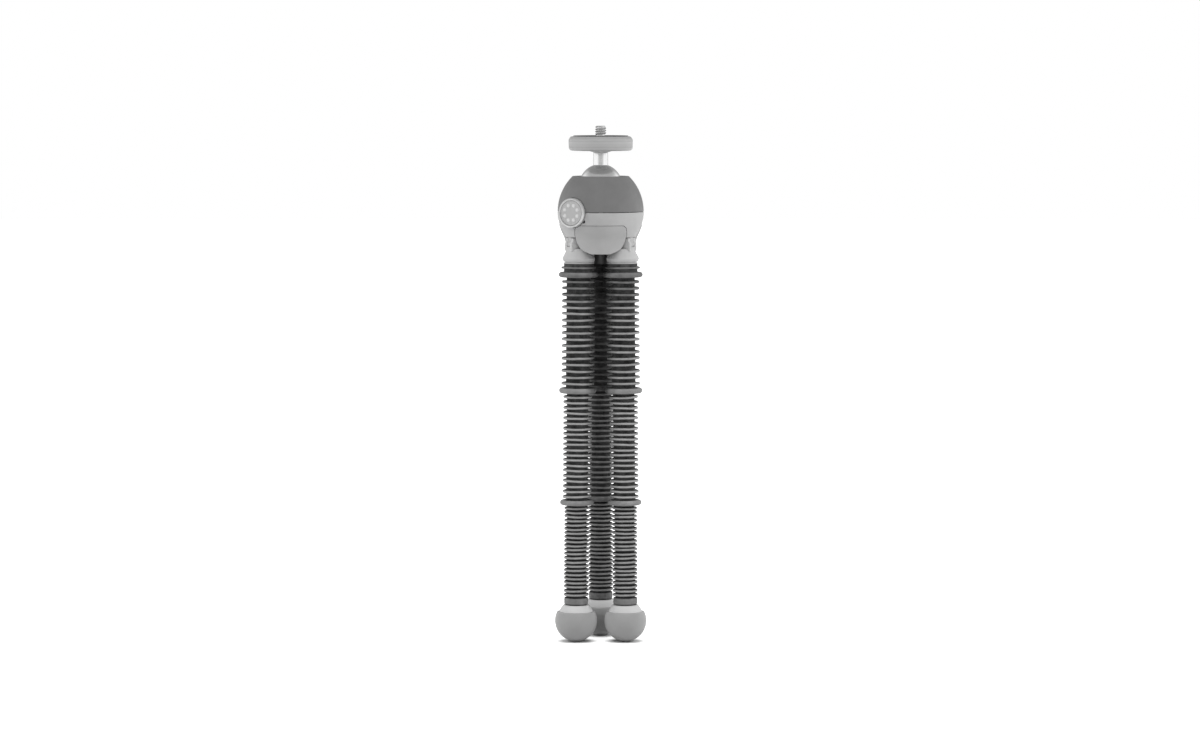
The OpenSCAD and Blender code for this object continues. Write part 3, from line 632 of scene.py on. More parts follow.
def turned_metal(name, level, contrast, rough, metal, lines=3200.0, place_of=None):
    """Metal with the fine rings of a lathe round its axis. Less metal mirrors the studio less."""
    material, tree, shader, place = new_surface(name)
    if place_of is not None:
        back = place_of.normalized().inverted()
        place = add_node(tree, "ShaderNodeMapping", {
            "Vector": place, "Location": back.to_translation(), "Rotation": back.to_euler()}).outputs[0]
    where = {"Coordinates": place, "Lines per metre": lines}
    height = group_output(tree, turned_lines, where, "Height")
    tone = group_output(tree, turned_lines, where, "Tone")
    marks = group_output(tree, handling_marks, {"Coordinates": place}, "Mask")
    colour = mixed_colour(tree, tone, grey(level - contrast), grey(level + contrast))
    coloured(tree, shader, colour, ranged(tree, marks, rough[0], rough[1]))
    shader.inputs["Metallic"].default_value = metal
    bumped(tree, shader, height, 0.00001)
    return material


def polished_metal(name, level, rough):
    """Smooth bright steel with faint smudges."""
    material, tree, shader, place = new_surface(name)
    marks = group_output(tree, handling_marks, {"Coordinates": place, "Marks per metre": 90.0}, "Mask")
    colour = mixed_colour(tree, marks, grey(level), grey(level - 6))
    coloured(tree, shader, colour, ranged(tree, marks, rough[0], rough[1]))
    shader.inputs["Metallic"].default_value = 1.0
    return material


# Each finish with its level of grey from 0 to 255, its contrast and its lowest and highest roughness.
FINISHES = {
    "dark_shell": lambda name: moulded_plastic(name, 112, 4, (0.4, 0.52)),
    "light_shell": lambda name: moulded_plastic(name, 178, 4),
    "lobe_shell": lambda name: moulded_plastic(name, 170, 4),
    "shoulder_plastic": lambda name: moulded_plastic(name, 190, 4),
    "neck_plastic": lambda name: moulded_plastic(name, 202, 4),
    # The frame's dark grey stands in as painted shade: it keeps the gaps between the shoulders below
    # the lobes dark.
    "frame_plastic": lambda name: moulded_plastic(name, 66, 5),
    "liner_plastic": lambda name: moulded_plastic(name, 205, 3, (0.3, 0.4)),
    "link_plastic": lambda name: moulded_plastic(name, 58, 5),
    "cap_plastic": lambda name: moulded_plastic(name, 178, 4, (0.34, 0.48)),
    "pip_plastic": lambda name: moulded_plastic(name, 212, 3, (0.34, 0.48)),
    "pad_rubber": lambda name: moulded_plastic(name, 84, 6, (0.6, 0.75), 0.00004, 2600.0),
    "sleeve_rubber": sleeve_rubber,
    "foot_rubber": foot_rubber,
    "plate_metal": lambda name: turned_metal(name, 168, 8, (0.5, 0.6), 0.15),
    "knob_metal": lambda name: turned_metal(name, 190, 5, (0.3, 0.42), 0.4, 2600.0, knob_place()),
    "steel": lambda name: turned_metal(name, 206, 8, (0.26, 0.4), 0.7, 2000.0),
    "wedge_plastic": lambda name: moulded_plastic(name, 205, 4),
    "ball_metal": lambda name: polished_metal(name, 236, (0.17, 0.26)),
}


MADE = {}


def finish(name):
    """The finish of that name, made the first time that a piece asks for it."""
    if name not in MADE:
        MADE[name] = FINISHES[name](f"tripod_{name}")
    return MADE[name]


# Sizes that a user may change

def length(name, text, value, low, high):
    """A length that shows in the panel, given in millimetres."""
    return FloatProperty(name=name, description=text, default=value * MM, min=low * MM, max=high * MM,
                         precision=5, unit="LENGTH")


def count(name, text, value, low, high):
    """A number of like things that shows in the panel."""
    return IntProperty(name=name, description=text, default=value, min=low, max=high)


def tint(name, text, level):
    """A colour that shows in the panel, given as a level of grey."""
    return FloatVectorProperty(name=name, description=text, default=grey(level)[:3], min=0, max=1,
                               size=3, subtype="COLOR")


def in_mm(group):
    """A group's sizes, with its lengths in millimetres."""
    values = {}
    for prop in group.bl_rna.properties:
        if prop.identifier in ("rna_type", "name"):
            continue
        value = getattr(group, prop.identifier)
        values[prop.identifier] = value / MM if getattr(prop, "unit", "") == "LENGTH" else value
    return SimpleNamespace(**values)


class TripodSleeves(bpy.types.PropertyGroup):
    """The ribbed rubber sleeves"""
    rib_thickness: length("Rib thickness", "Thickness of a rib", 1.35, 0.6, 1.6)
    rib_rounding: length("Rib rounding", "Rounding of a rib's rim", 0.6, 0.1, 0.7)
    rib_wave: length("Rib wave", "How far a rib's rim strays up and down", 0.22, 0, 0.5)
    rib_tilt: FloatProperty(name="Rib tilt", description="The most that a rib leans", subtype="ANGLE",
                            default=math.radians(1.4), min=0, max=math.radians(3))
    upper_ribs: count("Upper ribs", "Ribs on the upper sleeve", 17, 4, 30)
    middle_ribs: count("Middle ribs", "Ribs on the middle sleeve", 20, 4, 30)
    lower_ribs: count("Lower ribs", "Ribs on the lower sleeve", 22, 4, 30)
    upper_rib_radius: length("Upper rib radius", "Radius over the upper ribs", 9.0, 7, 11)
    middle_rib_radius: length("Middle rib radius", "Radius over the middle ribs", 7.85, 6, 10)
    lower_rib_radius: length("Lower rib radius", "Radius over the lower ribs", 6.85, 5.8, 9)
    upper_core_radius: length("Upper core radius", "Radius between the upper ribs", 6.5, 5, 8)
    middle_core_radius: length("Middle core radius", "Radius between the middle ribs", 5.9, 5, 8)
    lower_core_radius: length("Lower core radius", "Radius between the lower ribs", 5.3, 4.6, 7)
    ring_rounding: length("Ring rounding", "Rounding of the broad rings", 1.35, 0.2, 2)
    bore_radius: length("Bore radius", "Radius of the bore that the links lie in", 4.3, 4, 4.6)


class TripodHead(bpy.types.PropertyGroup):
    """The camera screw, the plate, the stem and the knob's pips"""
    thread_pitch: length("Thread pitch", "Rise of the camera screw in one turn", 1.27, 0.5, 2)
    thread_depth: length("Thread depth", "Depth of the camera screw's thread", 0.7, 0.2, 0.9)
    plate_rounding: length("Plate rounding", "Rounding under the camera plate's edge", 1.8, 0.2, 3)
    stem_radius: length("Stem radius", "Radius of the stem on the ball", 4.0, 2, 6)
    pips: count("Pips", "Pips on the knob's cap", 8, 3, 16)
    pip_radius: length("Pip radius", "Radius of a pip", 1.05, 0.3, 1.2)
    pip_ring_radius: length("Pip ring radius", "Radius of the ring of pips", 4.25, 2, 5)


class TripodShells(bpy.types.PropertyGroup):
    """The shells, the lobes and the lugs"""
    arc_radius: length("Arc radius", "Radius of the arc of the shell's side", 26.8, 24, 30)
    wall: length("Wall", "Thickness of the shells", 2.0, 1, 3)
    top_rounding: length("Top rounding", "Rounding of the edge round the flat top", 0.6, 0.1, 2)
    lobe_wall: length("Lobe wall", "Thickness of a lobe", 1.5, 1, 2)
    lobe_proud: length("Lobe height", "How far a lobe stands out of the shell", 0.15, 0, 0.5)
    lobe_lean: FloatProperty(name="Lobe lean", default=0.19, min=0, max=0.5,
                             description="How much a lobe's lower half leans out with height")
    lobe_low_radius: length("Lobe foot", "Radius of a lobe's lower edge", 18.0, 16, 20)
    lobe_half_width: length("Lobe half width", "Half the width of a lobe", 14.0, 10, 16)
    lobe_foot_half_width: length("Lobe foot half width", "Half the width of a lobe's lower edge",
                                 5.2, 3, 8)
    lobe_gap: length("Lobe gap", "Gap round a lobe", 0.2, 0.1, 0.5)
    knob_gap: length("Knob gap", "Gap round the knob", 0.25, 0.1, 0.6)
    notch_radius: length("Notch radius", "Radius of the notch beside the knob", 1.0, 0.5, 1.5)
    lug_thickness: length("Lug thickness", "Thickness of the frame's lugs", 3.0, 2, 4)


class TripodFinishes(bpy.types.PropertyGroup):
    """The colours of the rubber"""
    rubber_rim: tint("Rubber rims", "Colour of the ribs' rims and of the broad rings", 172)
    # The groove colour is partly the rubber's own dark tone and partly painted shade in the grooves.
    rubber_groove: tint("Rubber grooves", "Colour of the rubber between the ribs", 36)
    foot_rubber: tint("Foot rubber", "Colour of the feet", 156)


class TripodStage(bpy.types.PropertyGroup):
    """The lights and the camera"""
    room_light: FloatProperty(name="Room light", description="Strength of the even light",
                              default=0.75, min=0, max=2)
    key_light: FloatProperty(name="Key light", description="Power of the lamp at the right in watts",
                             default=9, min=0, max=200)
    fill_light: FloatProperty(name="Fill light", description="Power of the lamp at the left in watts",
                              default=7, min=0, max=200)
    camera_distance: FloatProperty(name="Camera distance", description="From the camera to the part",
                                   default=2.05, min=0.5, max=6, unit="LENGTH")
    camera_height: FloatProperty(name="Camera elevation", description="How far the camera looks down",
                                 default=math.radians(4.6), min=0, max=1, subtype="ANGLE")
    focal_length: FloatProperty(name="Focal length", description="Focal length in millimetres",
                                default=112.6, min=30, max=300)


# Sleeves

def cut_heights(stretch, joints):
    """Where a sleeve is cut into pieces, each round one joint, always between two ribs."""
    in_groove = 0.2
    cuts = []
    for above, below in zip(joints, joints[1:]):
        middle = (above + below) / 2
        if stretch.core_low < middle < stretch.core_high:
            grooves = round((stretch.core_high - middle) / stretch.pitch - in_groove)
            cuts.append(stretch.core_high - stretch.pitch * (grooves + in_groove))
    return cuts


def sleeve_outline(stretch, high, low, sizes):
    """Half the section of a piece of a sleeve, from the bore's top round the outside to its bottom."""
    bore, core = sizes.bore_radius, stretch.core_radius
    top = stretch.top if high > stretch.core_high else [(bore, high, 0), (core, high, 0)]
    bottom = stretch.bottom if low < stretch.core_low else [(core, low, 0), (bore, low, 0)]
    return subdivided(rounded(top + bottom), 1.6)


def sleeve_stretches(leg, place, sizes):
    """The three sleeves of a leg: where each runs, what stands at its ends, and its ribs.

    Near the top and towards the other legs the rims are darkened as painted shade. The other shares say
    how light the rims are below the top and on the ring or cuff at the bottom, and how light the
    grooves are at least.
    """
    bore, curve = sizes.bore_radius, sizes.ring_rounding
    upper = extent(f"leg_{leg}_sleeve_upper", place)
    middle = extent(f"leg_{leg}_sleeve_middle", place)
    lower = extent(f"leg_{leg}_sleeve_lower", place)

    def ring(low, thickness, radius, core):
        high = low + thickness
        return [(core, high, 0.3), (radius, high, curve), (radius, low, curve), (bore, low, 0.2)]

    collar, flange, flange_low, flange_high = 8.0, 9.4, upper.high - 2.15, upper.high - 1.15
    collar_top = upper.high + 0.5
    ring_1, ring_1_low, ring_1_high = upper.radius, upper.high - 6.9, upper.high - 4.1
    ring_2, ring_2_rise, ring_3_rise = 10.15, 2.9, 2.75
    upper_core, middle_core = sizes.upper_core_radius, sizes.middle_core_radius
    lower_core, cuff, cuff_rise = sizes.lower_core_radius, 6.55, 4
    stretches = {
        "upper": dict(
            top=[(bore, collar_top, 0.2), (collar, collar_top, 0.2), (collar, flange_high, 0.2),
                 (flange, flange_high, 0.45), (flange, flange_low, 0.45), (collar, flange_low, 0.2),
                 (collar, ring_1_high, 0.2), (ring_1, ring_1_high, curve), (ring_1, ring_1_low, curve),
                 (upper_core, ring_1_low, 0.3)],
            core_high=ring_1_low, bottom=ring(upper.low, ring_2_rise, ring_2, upper_core),
            core_low=upper.low + ring_2_rise,
            top_wear=0.83, wear=0.963, end_wear=0.94, inner_wear=0.76, groove_dust=0.1),
        "middle": dict(
            top=[(bore, middle.high, 0), (middle_core, middle.high, 0)], core_high=middle.high - 0.01,
            bottom=ring(middle.low, ring_3_rise, middle.radius, middle_core),
            core_low=middle.low + ring_3_rise,
            top_wear=1.0, wear=1.0, end_wear=0.905, inner_wear=0.86, groove_dust=0.1),
        "lower": dict(
            top=[(bore, lower.high, 0), (lower_core, lower.high, 0)], core_high=lower.high - 0.01,
            bottom=[(lower_core, lower.low + cuff_rise, 0.2), (cuff, lower.low + cuff_rise, 0.5),
                    (cuff, lower.low, 1.0), (bore, lower.low, 0.2)],
            core_low=lower.low + cuff_rise,
            top_wear=0.965, wear=0.965, end_wear=1.1, inner_wear=0.94, groove_dust=0.0)}
    for name, values in stretches.items():
        values["name"] = name
        for size in ("ribs", "rib_radius", "core_radius"):
            values[size] = getattr(sizes, f"{name}_{size}")
        values["pitch"] = (values["core_high"] - values["core_low"]) / (values["ribs"] + 0.4)
        values["high"] = values["top"][0][1]
        values["low"] = values["bottom"][-1][1]
    return [SimpleNamespace(**values) for values in stretches.values()]


def mark_crests(mesh, stretch):
    """Stores how far each point stands out of the grooves, with painted shade near the top and towards
    the other legs, which the rubber's colour follows.
    """
    below_top, towards_legs, sharpness = [8, 16], [-0.9, 0.1], 5
    points = np.array([v.co for v in mesh.vertices])
    reach = np.hypot(points[:, 0], points[:, 1])
    share = np.clip((reach - stretch.core_radius) / (stretch.rib_radius - stretch.core_radius), 0, 1)
    # Painted shade: the rims are darker near the top of the sleeve, under what stands above it.
    share *= np.interp(stretch.core_high - points[:, 2], below_top, [stretch.top_wear, stretch.wear])
    # Painted shade: the rims are darker on the side that faces the other legs.
    share *= np.interp(points[:, 0] / reach, towards_legs, [stretch.inner_wear, 1])
    share[points[:, 2] < stretch.core_low] *= stretch.end_wear
    # The grooves stay darker than the rims, partly as painted shade, but never below the least share
    # that the sleeve gives.
    crest_values = np.maximum(share ** sharpness, stretch.groove_dust)
    crest = mesh.attributes.new("crest", "FLOAT", "POINT")
    crest.data.foreach_set("value", crest_values.astype(np.float32))


def sleeve_piece(leg, number, stretch, high, low, joint, place, tree, sizes):
    """One piece of a sleeve, round one joint."""
    to_first_rib, sunk, bend_reach = 0.7, 0.4, 10
    name = f"leg_{leg}_{stretch.name}_rubber_{number}"
    shape = turned(sleeve_outline(stretch, high, low, sizes), 72)
    heights = [stretch.core_high - stretch.pitch * (n + to_first_rib) for n in range(stretch.ribs)]
    inside = [h for h in heights if low < h < high]
    mesh = grown(name, shape, tree, {
        "Ribs": len(inside), "First height": inside[0], "Pitch": stretch.pitch,
        "Radius": stretch.rib_radius, "Root radius": stretch.core_radius - sunk,
        "Thickness": sizes.rib_thickness,
        "Rounding": sizes.rib_rounding, "Tilt": sizes.rib_tilt, "Wave": sizes.rib_wave,
        "Seed": 10 * LEGS.index(leg) + joint, "Material": finish("sleeve_rubber")})
    mark_crests(mesh, stretch)
    piece = finished(name, mesh, place)
    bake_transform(piece)
    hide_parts(f"leg_{leg}_sleeve_{stretch.name}")


class TRIPOD_OT_sleeves(bpy.types.Operator):
    """Makes the ribbed rubber sleeves of the three legs"""
    bl_idname = "tripod.sleeves"
    bl_label = "Ribbed sleeves"

    def execute(self, context):
        sizes = in_mm(context.scene.tripod_sleeves)
        tree = rib_tree()
        for leg in LEGS:
            place = leg_place(leg)
            back = place.inverted()
            joints = [(back @ (joint_point(f"leg_{leg}_bend_{k}") * MM)).z for k in range(1, 8)]
            for stretch in sleeve_stretches(leg, place, sizes):
                edges = [stretch.high] + cut_heights(stretch, joints) + [stretch.low]
                for number, (high, low) in enumerate(zip(edges, edges[1:]), 1):
                    middle = (high + low) / 2
                    joint = 1 + min(range(7), key=lambda k: abs(joints[k] - middle))
                    sleeve_piece(leg, number, stretch, high, low, joint, place, tree, sizes)
        return {"FINISHED"}


# Feet

class TRIPOD_OT_feet(bpy.types.Operator):
    """Makes the rubber feet and the necks that they sit on"""
    bl_idname = "tripod.feet"
    bl_label = "Feet"

    def execute(self, context):
        for leg in LEGS:
            place = leg_place(leg)
            self.rubber(leg, place)
            self.neck(leg, place)
        return {"FINISHED"}

    def rubber(self, leg, place):
        pad = extent(f"leg_{leg}_foot_pad", place)
        radius, wall, depth = pad.radius, 2.4, 6.1
        middle = 0.98 * radius
        lip = pad.high - middle
        inner = radius - wall
        start = math.degrees(math.asin(lip / radius))
        inner_start = math.degrees(math.asin(lip / inner))
        inner_end = -math.degrees(math.asin(depth / inner))
        outline = arc(0, middle, radius, -90, start, 40)
        outline[-1] = outline[-1][:2] + (2.2,)
        mouth = arc(0, middle, inner, inner_start, inner_end, 20)
        mouth[0] = mouth[0][:2] + (0.5,)
        shape = turned(rounded(outline + mouth + [(0, middle - depth, 0)], 5), 96)
        mesh = as_mesh(f"leg_{leg}_foot_rubber", shape)
        mesh.materials.append(finish("foot_rubber"))
        piece = finished(f"leg_{leg}_foot_rubber", mesh, place)
        for point in piece.data.vertices:
            point.co.z = max(point.co.z, 0)
        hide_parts(f"leg_{leg}_foot_pad")
        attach(piece, f"leg_{leg}_seg_7")

    def neck(self, leg, place):
        core = extent(f"leg_{leg}_foot_core", place)
        pad = extent(f"leg_{leg}_foot_pad", place)
        low_radius, top_radius, low = core.radius, 6.9, pad.high + 0.1
        plug, plug_top = 6.5, 7.4
        rise = core.high - low
        middle = (low + core.high - (low_radius ** 2 - top_radius ** 2) / rise) / 2
        radius = math.hypot(low_radius, low - middle)
        start = math.degrees(math.asin((low - middle) / radius))
        end = math.degrees(math.asin((core.high - middle) / radius))
        side = arc(0, middle, radius, start, end, 10)
        side[-1] = side[-1][:2] + (0.45,)
        bore, bore_low = 3.3, 8.05
        outline = [(0, core.low, 0), (plug, core.low, 0.2), (plug_top, low, 0)] + side
        outline += [(bore, core.high, 0.1), (bore, bore_low, 0), (0, bore_low, 0)]
        piece = solid_piece(f"leg_{leg}_foot_neck", turned(rounded(outline), 96), "neck_plastic",
                            place)
        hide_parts(f"leg_{leg}_foot_core")
        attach(piece, f"leg_{leg}_seg_7")


# Camera screw and plate

class TRIPOD_OT_camera_screw(bpy.types.Operator):
    """Makes the camera screw with its wound thread"""
    bl_idname = "tripod.camera_screw"
    bl_label = "Camera screw"

    def execute(self, context):
        sizes = in_mm(context.scene.tripod_head)
        screw = extent("camera_screw", HEAD)
        pad_top = extent("plate_pad", HEAD).high
        root = screw.radius - sizes.thread_depth
        shank, step, plain_end = screw.radius - 0.5, pad_top - 0.2, 0.5
        outline = [(0, screw.low, 0), (shank, screw.low, 0.2), (shank, step, 0.1), (root, step, 0.1),
                   (root, screw.high, 0.35), (0, screw.high, 0)]
        turns = (screw.high - pad_top - plain_end) / sizes.thread_pitch
        mesh = grown("camera_screw_thread", turned(rounded(outline), 64), thread_tree(), {
            "Turns": turns, "Start height": pad_top + 0.2, "Pitch": sizes.thread_pitch,
            "Root radius": root, "Depth": sizes.thread_depth, "Material": finish("steel")})
        piece = finished("camera_screw_thread", mesh, HEAD)
        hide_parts("camera_screw")
        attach(piece, "ball")
        return {"FINISHED"}


class TRIPOD_OT_camera_plate(bpy.types.Operator):
    """Makes the turned camera plate and its rubber pad"""
    bl_idname = "tripod.camera_plate"
    bl_label = "Camera plate"

    def execute(self, context):
        sizes = in_mm(context.scene.tripod_head)
        plate = extent("camera_plate", HEAD)
        pad = extent("plate_pad", HEAD)
        cone, cone_low, cone_high, bore = 0.8, 4.4, 7, 2.8
        under, top, edge = plate.low + cone, plate.high, plate.radius
        recess, recess_floor = pad.radius + 0.1, top - 0.8
        outline = [(bore, plate.low, 0.1), (cone_low, plate.low, 0.2), (cone_high, under, 0.3),
                   (edge - 0.2, under, sizes.plate_rounding), (edge, top - 1.9, 1.0),
                   (edge - 1.0, top - 0.3, 1.2), (edge - 1.8, top, 0.4), (recess, top, 0.15),
                   (recess, recess_floor, 0), (bore, recess_floor, 0.1)]
        piece = solid_piece("camera_plate_turned", turned(rounded(outline, 6), 160), "plate_metal")
        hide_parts("camera_plate")
        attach(piece, "plate")
        hole, low, ridge, grooves, first, pitch = 3.5, top - 0.75, 0.22, 7, 1.6, 1.35
        outline = [(hole, low, 0), (pad.radius, low, 0), (pad.radius, pad.high, 0.2)]
        for n in range(grooves):
            groove = pad.radius - first - pitch * n
            outline += [(groove + 0.3, pad.high, 0.05), (groove + 0.15, pad.high - ridge, 0.05),
                        (groove - 0.15, pad.high - ridge, 0.05), (groove - 0.3, pad.high, 0.05)]
        outline.append((hole, pad.high, 0.15))
        piece = solid_piece("plate_pad_grooved", turned(rounded(outline, 2), 128), "pad_rubber")
        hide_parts("plate_pad")
        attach(piece, "plate")
        return {"FINISHED"}


class TRIPOD_OT_ball(bpy.types.Operator):
    """Makes the polished ball and its stem"""
    bl_idname = "tripod.ball"
    bl_label = "Ball and stem"

    def execute(self, context):
        stem = in_mm(context.scene.tripod_head).stem_radius
        ball = extent("ball_stud", HEAD)
        middle, bore, bore_low = ball.low + ball.radius, 3.2, ball.high - 8
        start = math.degrees(math.acos(stem / ball.radius))
        side = arc(0, middle, ball.radius, -90, start, 60)
        side[-1] = side[-1][:2] + (0.5,)
        outline = side + [(stem, ball.high, 0.15), (bore, ball.high, 0.1), (bore, bore_low, 0),
                          (0, bore_low, 0)]
        piece = solid_piece("ball_and_stem", turned(rounded(outline), 128), "ball_metal")
        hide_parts("ball_stud")
        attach(piece, "ball")
        return {"FINISHED"}


# Knob

class TRIPOD_OT_knob(bpy.types.Operator):
    """Makes the clamp knob and its cap with pips and an index line"""
    bl_idname = "tripod.knob"
    bl_label = "Clamp knob"

    def execute(self, context):
        sizes = in_mm(context.scene.tripod_head)
        place = knob_place()
        knob = extent("clamp_knob", place)
        cap = extent("knob_cap", place)
        screw, hollow, recess = 2.1, cap.radius - 0.6, cap.radius + 0.1
        floor, web_low, web_high = knob.high - 1.2, knob.low + 2, knob.high - 2
        outline = [(screw, web_high, 0), (screw, web_low, 0), (hollow, web_low, 0.2),
                   (hollow, knob.low, 0.1), (knob.radius, knob.low, 0.3),
                   (knob.radius, knob.high - 0.7, 0.6), (knob.radius - 0.35, knob.high - 0.1, 0.3),
                   (cap.radius + 0.45, knob.high, 0.2), (recess, knob.high - 0.35, 0.15),
                   (recess, floor, 0), (screw + 0.5, floor, 0), (screw + 0.5, web_high, 0)]
        piece = solid_piece("clamp_knob_body", turned(rounded(outline), 128), "knob_metal",
                            place)
        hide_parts("clamp_knob")
        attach(piece, "knob")
        rim, line_half_width = cap.high - 0.2, 0.16
        face, face_radius, line_start = rim - 0.18, cap.radius - 0.75, cap.radius - 2.1
        outline = [(0, cap.low, 0), (cap.radius, cap.low, 0.1), (cap.radius, rim, 0.25),
                   (cap.radius - 0.55, rim, 0.1), (face_radius, face, 0.05), (0, face, 0)]
        line = extruded([(line_start, -line_half_width), (face_radius, -line_half_width),
                         (face_radius, line_half_width), (line_start, line_half_width)],
                        rim - 0.3, rim - 0.02, 0.04)
        piece = solid_piece("knob_cap_face", joined(turned(rounded(outline), 96), line), "cap_plastic",
                            place)
        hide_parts("knob_cap")
        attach(piece, "knob")
        mesh = grown("knob_pips", bmesh.new(), pip_tree(), {
            "Pips": sizes.pips, "Ring radius": sizes.pip_ring_radius, "Pip radius": sizes.pip_radius,
            "Height": face, "Flatness": 0.32, "Material": finish("pip_plastic")})
        piece = finished("knob_pips", mesh, place)
        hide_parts("knob_cap")
        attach(piece, "knob")
        return {"FINISHED"}


# Shells

def shell_arc(sizes, radius, middle, inset, low, high, steps):
    """Points up the shell's side between two heights."""
    reach = sizes.arc_radius - inset
    start = math.degrees(math.asin((low - middle) / reach))
    end = math.degrees(math.asin((high - middle) / reach))
    return arc(radius - sizes.arc_radius, middle, reach, start, end, steps)


def lobe_reach(sizes, radius, middle, low, height):
    """Distance of a lobe's outside from the head's axis: the shell above, a steeper cone below."""
    blend = 0.3
    shell = radius - sizes.arc_radius + math.sqrt(sizes.arc_radius ** 2 - (height - middle) ** 2)
    shell += sizes.lobe_proud
    cone = sizes.lobe_low_radius + sizes.lobe_lean * (height - low)
    return (shell + cone) / 2 + math.hypot((shell - cone) / 2, blend)


def lobe_outline(sizes, low, top, margin):
    """A lobe's outline seen from outside, with its corners rounded.

    Its right side is given in shares of the widening from the foot and of the rise.
    """
    low, top = low - margin, top + margin
    foot, half = sizes.lobe_foot_half_width + margin / 2, sizes.lobe_half_width + margin
    side, rise = half - foot, top - low
    right = [(foot, low, 1.5), (foot + 0.43 * side, low + 0.1 * rise, 2.5),
             (foot + 0.68 * side, low + 0.21 * rise, 2.5), (foot + 0.88 * side, low + 0.42 * rise, 4),
             (half, low + 0.67 * rise, 4), (half - 0.02 * side, top - 0.1 * rise, 1.2),
             (half - 0.19 * side, top, 1.2)]
    left = [(-across, up, curve) for across, up, curve in reversed(right)]
    return rounded(right + left, 5)


def lobe_bar(side, outline):
    """A bar that runs out from the head's axis with a lobe's outline."""
    inside = 9
    return moved(extruded(outline, inside, OUTSIDE), face_place(LOBE_ANGLES[side]))


def rod(radius, place, segments=96):
    """A cylinder that runs along a place's Z axis, from just outside the clamp cup."""
    low = extent("clamp_cup", HEAD).radius + 1
    outline = [Vector(point) for point in ((0, low), (radius, low), (radius, OUTSIDE), (0, OUTSIDE))]
    return moved(turned(outline, segments), place)


class TRIPOD_OT_shells(bpy.types.Operator):
    """Makes the two shells and the three lobes between the legs"""
    bl_idname = "tripod.shells"
    bl_label = "Shells"

    def execute(self, context):
        sizes = in_mm(context.scene.tripod_shells)
        upper, lower = extent("upper_shell", HEAD), extent("lower_shell", HEAD)
        middle = (upper.low + lower.high) / 2
        self.upper(sizes, upper, middle)
        self.lower(sizes, lower, middle)
        for side in LOBES:
            self.lobe(sizes, side, lower.radius, middle)
        return {"FINISHED"}

    def knob_bore(self, sizes):
        """The bore that the knob sinks into."""
        return rod(extent("clamp_knob", knob_place()).radius + sizes.knob_gap, knob_place())

    def knob_notch(self, sizes):
        """A small round notch in the bore's side, below the seam."""
        reach, turn = extent("clamp_knob", knob_place()).radius + sizes.knob_gap, math.radians(34)
        beside = Matrix.Translation((reach * math.sin(turn), reach * math.cos(turn), 0))
        return rod(sizes.notch_radius, knob_place() @ beside, 24)

    def upper(self, sizes, shell, middle):
        ball = extent("ball_stud", HEAD)
        ball_middle, seat = ball.low + ball.radius, ball.radius + 0.15
        cup, collar = extent("clamp_cup", HEAD).radius, ball_middle + 1.1
        ceiling = shell.high - sizes.wall
        outside = shell_arc(sizes, shell.radius, middle, 0, shell.low, shell.high, 60)
        outside[0] = outside[0][:2] + (0.12,)
        outside[-1] = outside[-1][:2] + (sizes.top_rounding,)
        start = math.degrees(math.asin((shell.high - ball_middle) / seat))
        end = math.degrees(math.asin((collar - ball_middle) / seat))
        opening = arc(0, ball_middle, seat, start, end, 16)
        opening[0] = opening[0][:2] + (0.2,)
        inside = shell_arc(sizes, shell.radius, middle, sizes.wall, shell.low, ceiling, 30)[::-1]
        outline = rounded(outside + opening + [(cup, collar, 0), (cup, ceiling, 0)] + inside)
        shape = carved(turned(outline, 192), self.knob_bore(sizes))
        piece = solid_piece("upper_shell_dome", shape, "dark_shell")
        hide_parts("upper_shell")
        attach(piece, "head")

    def lower(self, sizes, shell, middle):
        outside = shell_arc(sizes, shell.radius, middle, 0, shell.low, shell.high, 36)
        outside[0] = outside[0][:2] + (0.4,)
        outside[-1] = outside[-1][:2] + (0.12,)
        inside = shell_arc(sizes, shell.radius, middle, sizes.wall, shell.low, shell.high, 24)[::-1]
        shape = carved(turned(rounded(outside + inside), 192), self.knob_bore(sizes))
        shape = carved(shape, self.knob_notch(sizes))
        for side in LOBES:
            lobe = extent(f"lobe_cover_{side}", HEAD)
            outline = lobe_outline(sizes, lobe.low, lobe.high, sizes.lobe_gap)
            shape = carved(shape, lobe_bar(side, outline))
        piece = solid_piece("lower_shell_ring", shape, "light_shell")
        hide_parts("lower_shell")
        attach(piece, "head")

    def lobe(self, sizes, side, radius, middle):
        lobe = extent(f"lobe_cover_{side}", HEAD)
        over, steps = 1, 40
        rise = lobe.high - lobe.low + 2 * over
        heights = [lobe.low - over + rise * n / steps for n in range(steps + 1)]
        reaches = [lobe_reach(sizes, radius, middle, lobe.low, z) for z in heights]
        outside = [Vector((r, z)) for r, z in zip(reaches, heights)]
        inside = [Vector((r - sizes.lobe_wall, z)) for r, z in zip(reaches, heights)][::-1]
        outline = lobe_outline(sizes, lobe.low, lobe.high, 0)
        shape = carved(turned(outside + inside, 192), lobe_bar(side, outline), "INTERSECT")
        shape = carved(shape, self.knob_bore(sizes))
        softened(shape, 0.25, 50)
        piece = solid_piece(f"lobe_{side}", shape, "lobe_shell", sharp=50)
        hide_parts(f"lobe_cover_{side}")
        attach(piece, "head")


# Shoulders and hips

def hip_shapes(leg, blocks):
    """Shapes at a leg's hip, each drawn on its side and running between two places along the pin."""
    place, up_sign = hip_place(leg)
    shapes = []
    for points, start, end, bevel in blocks:
        outline = [Vector((across, up_sign * up)) for across, up, _ in points]
        shapes.append(moved(extruded(outline, start, end, bevel), place))
    return shapes


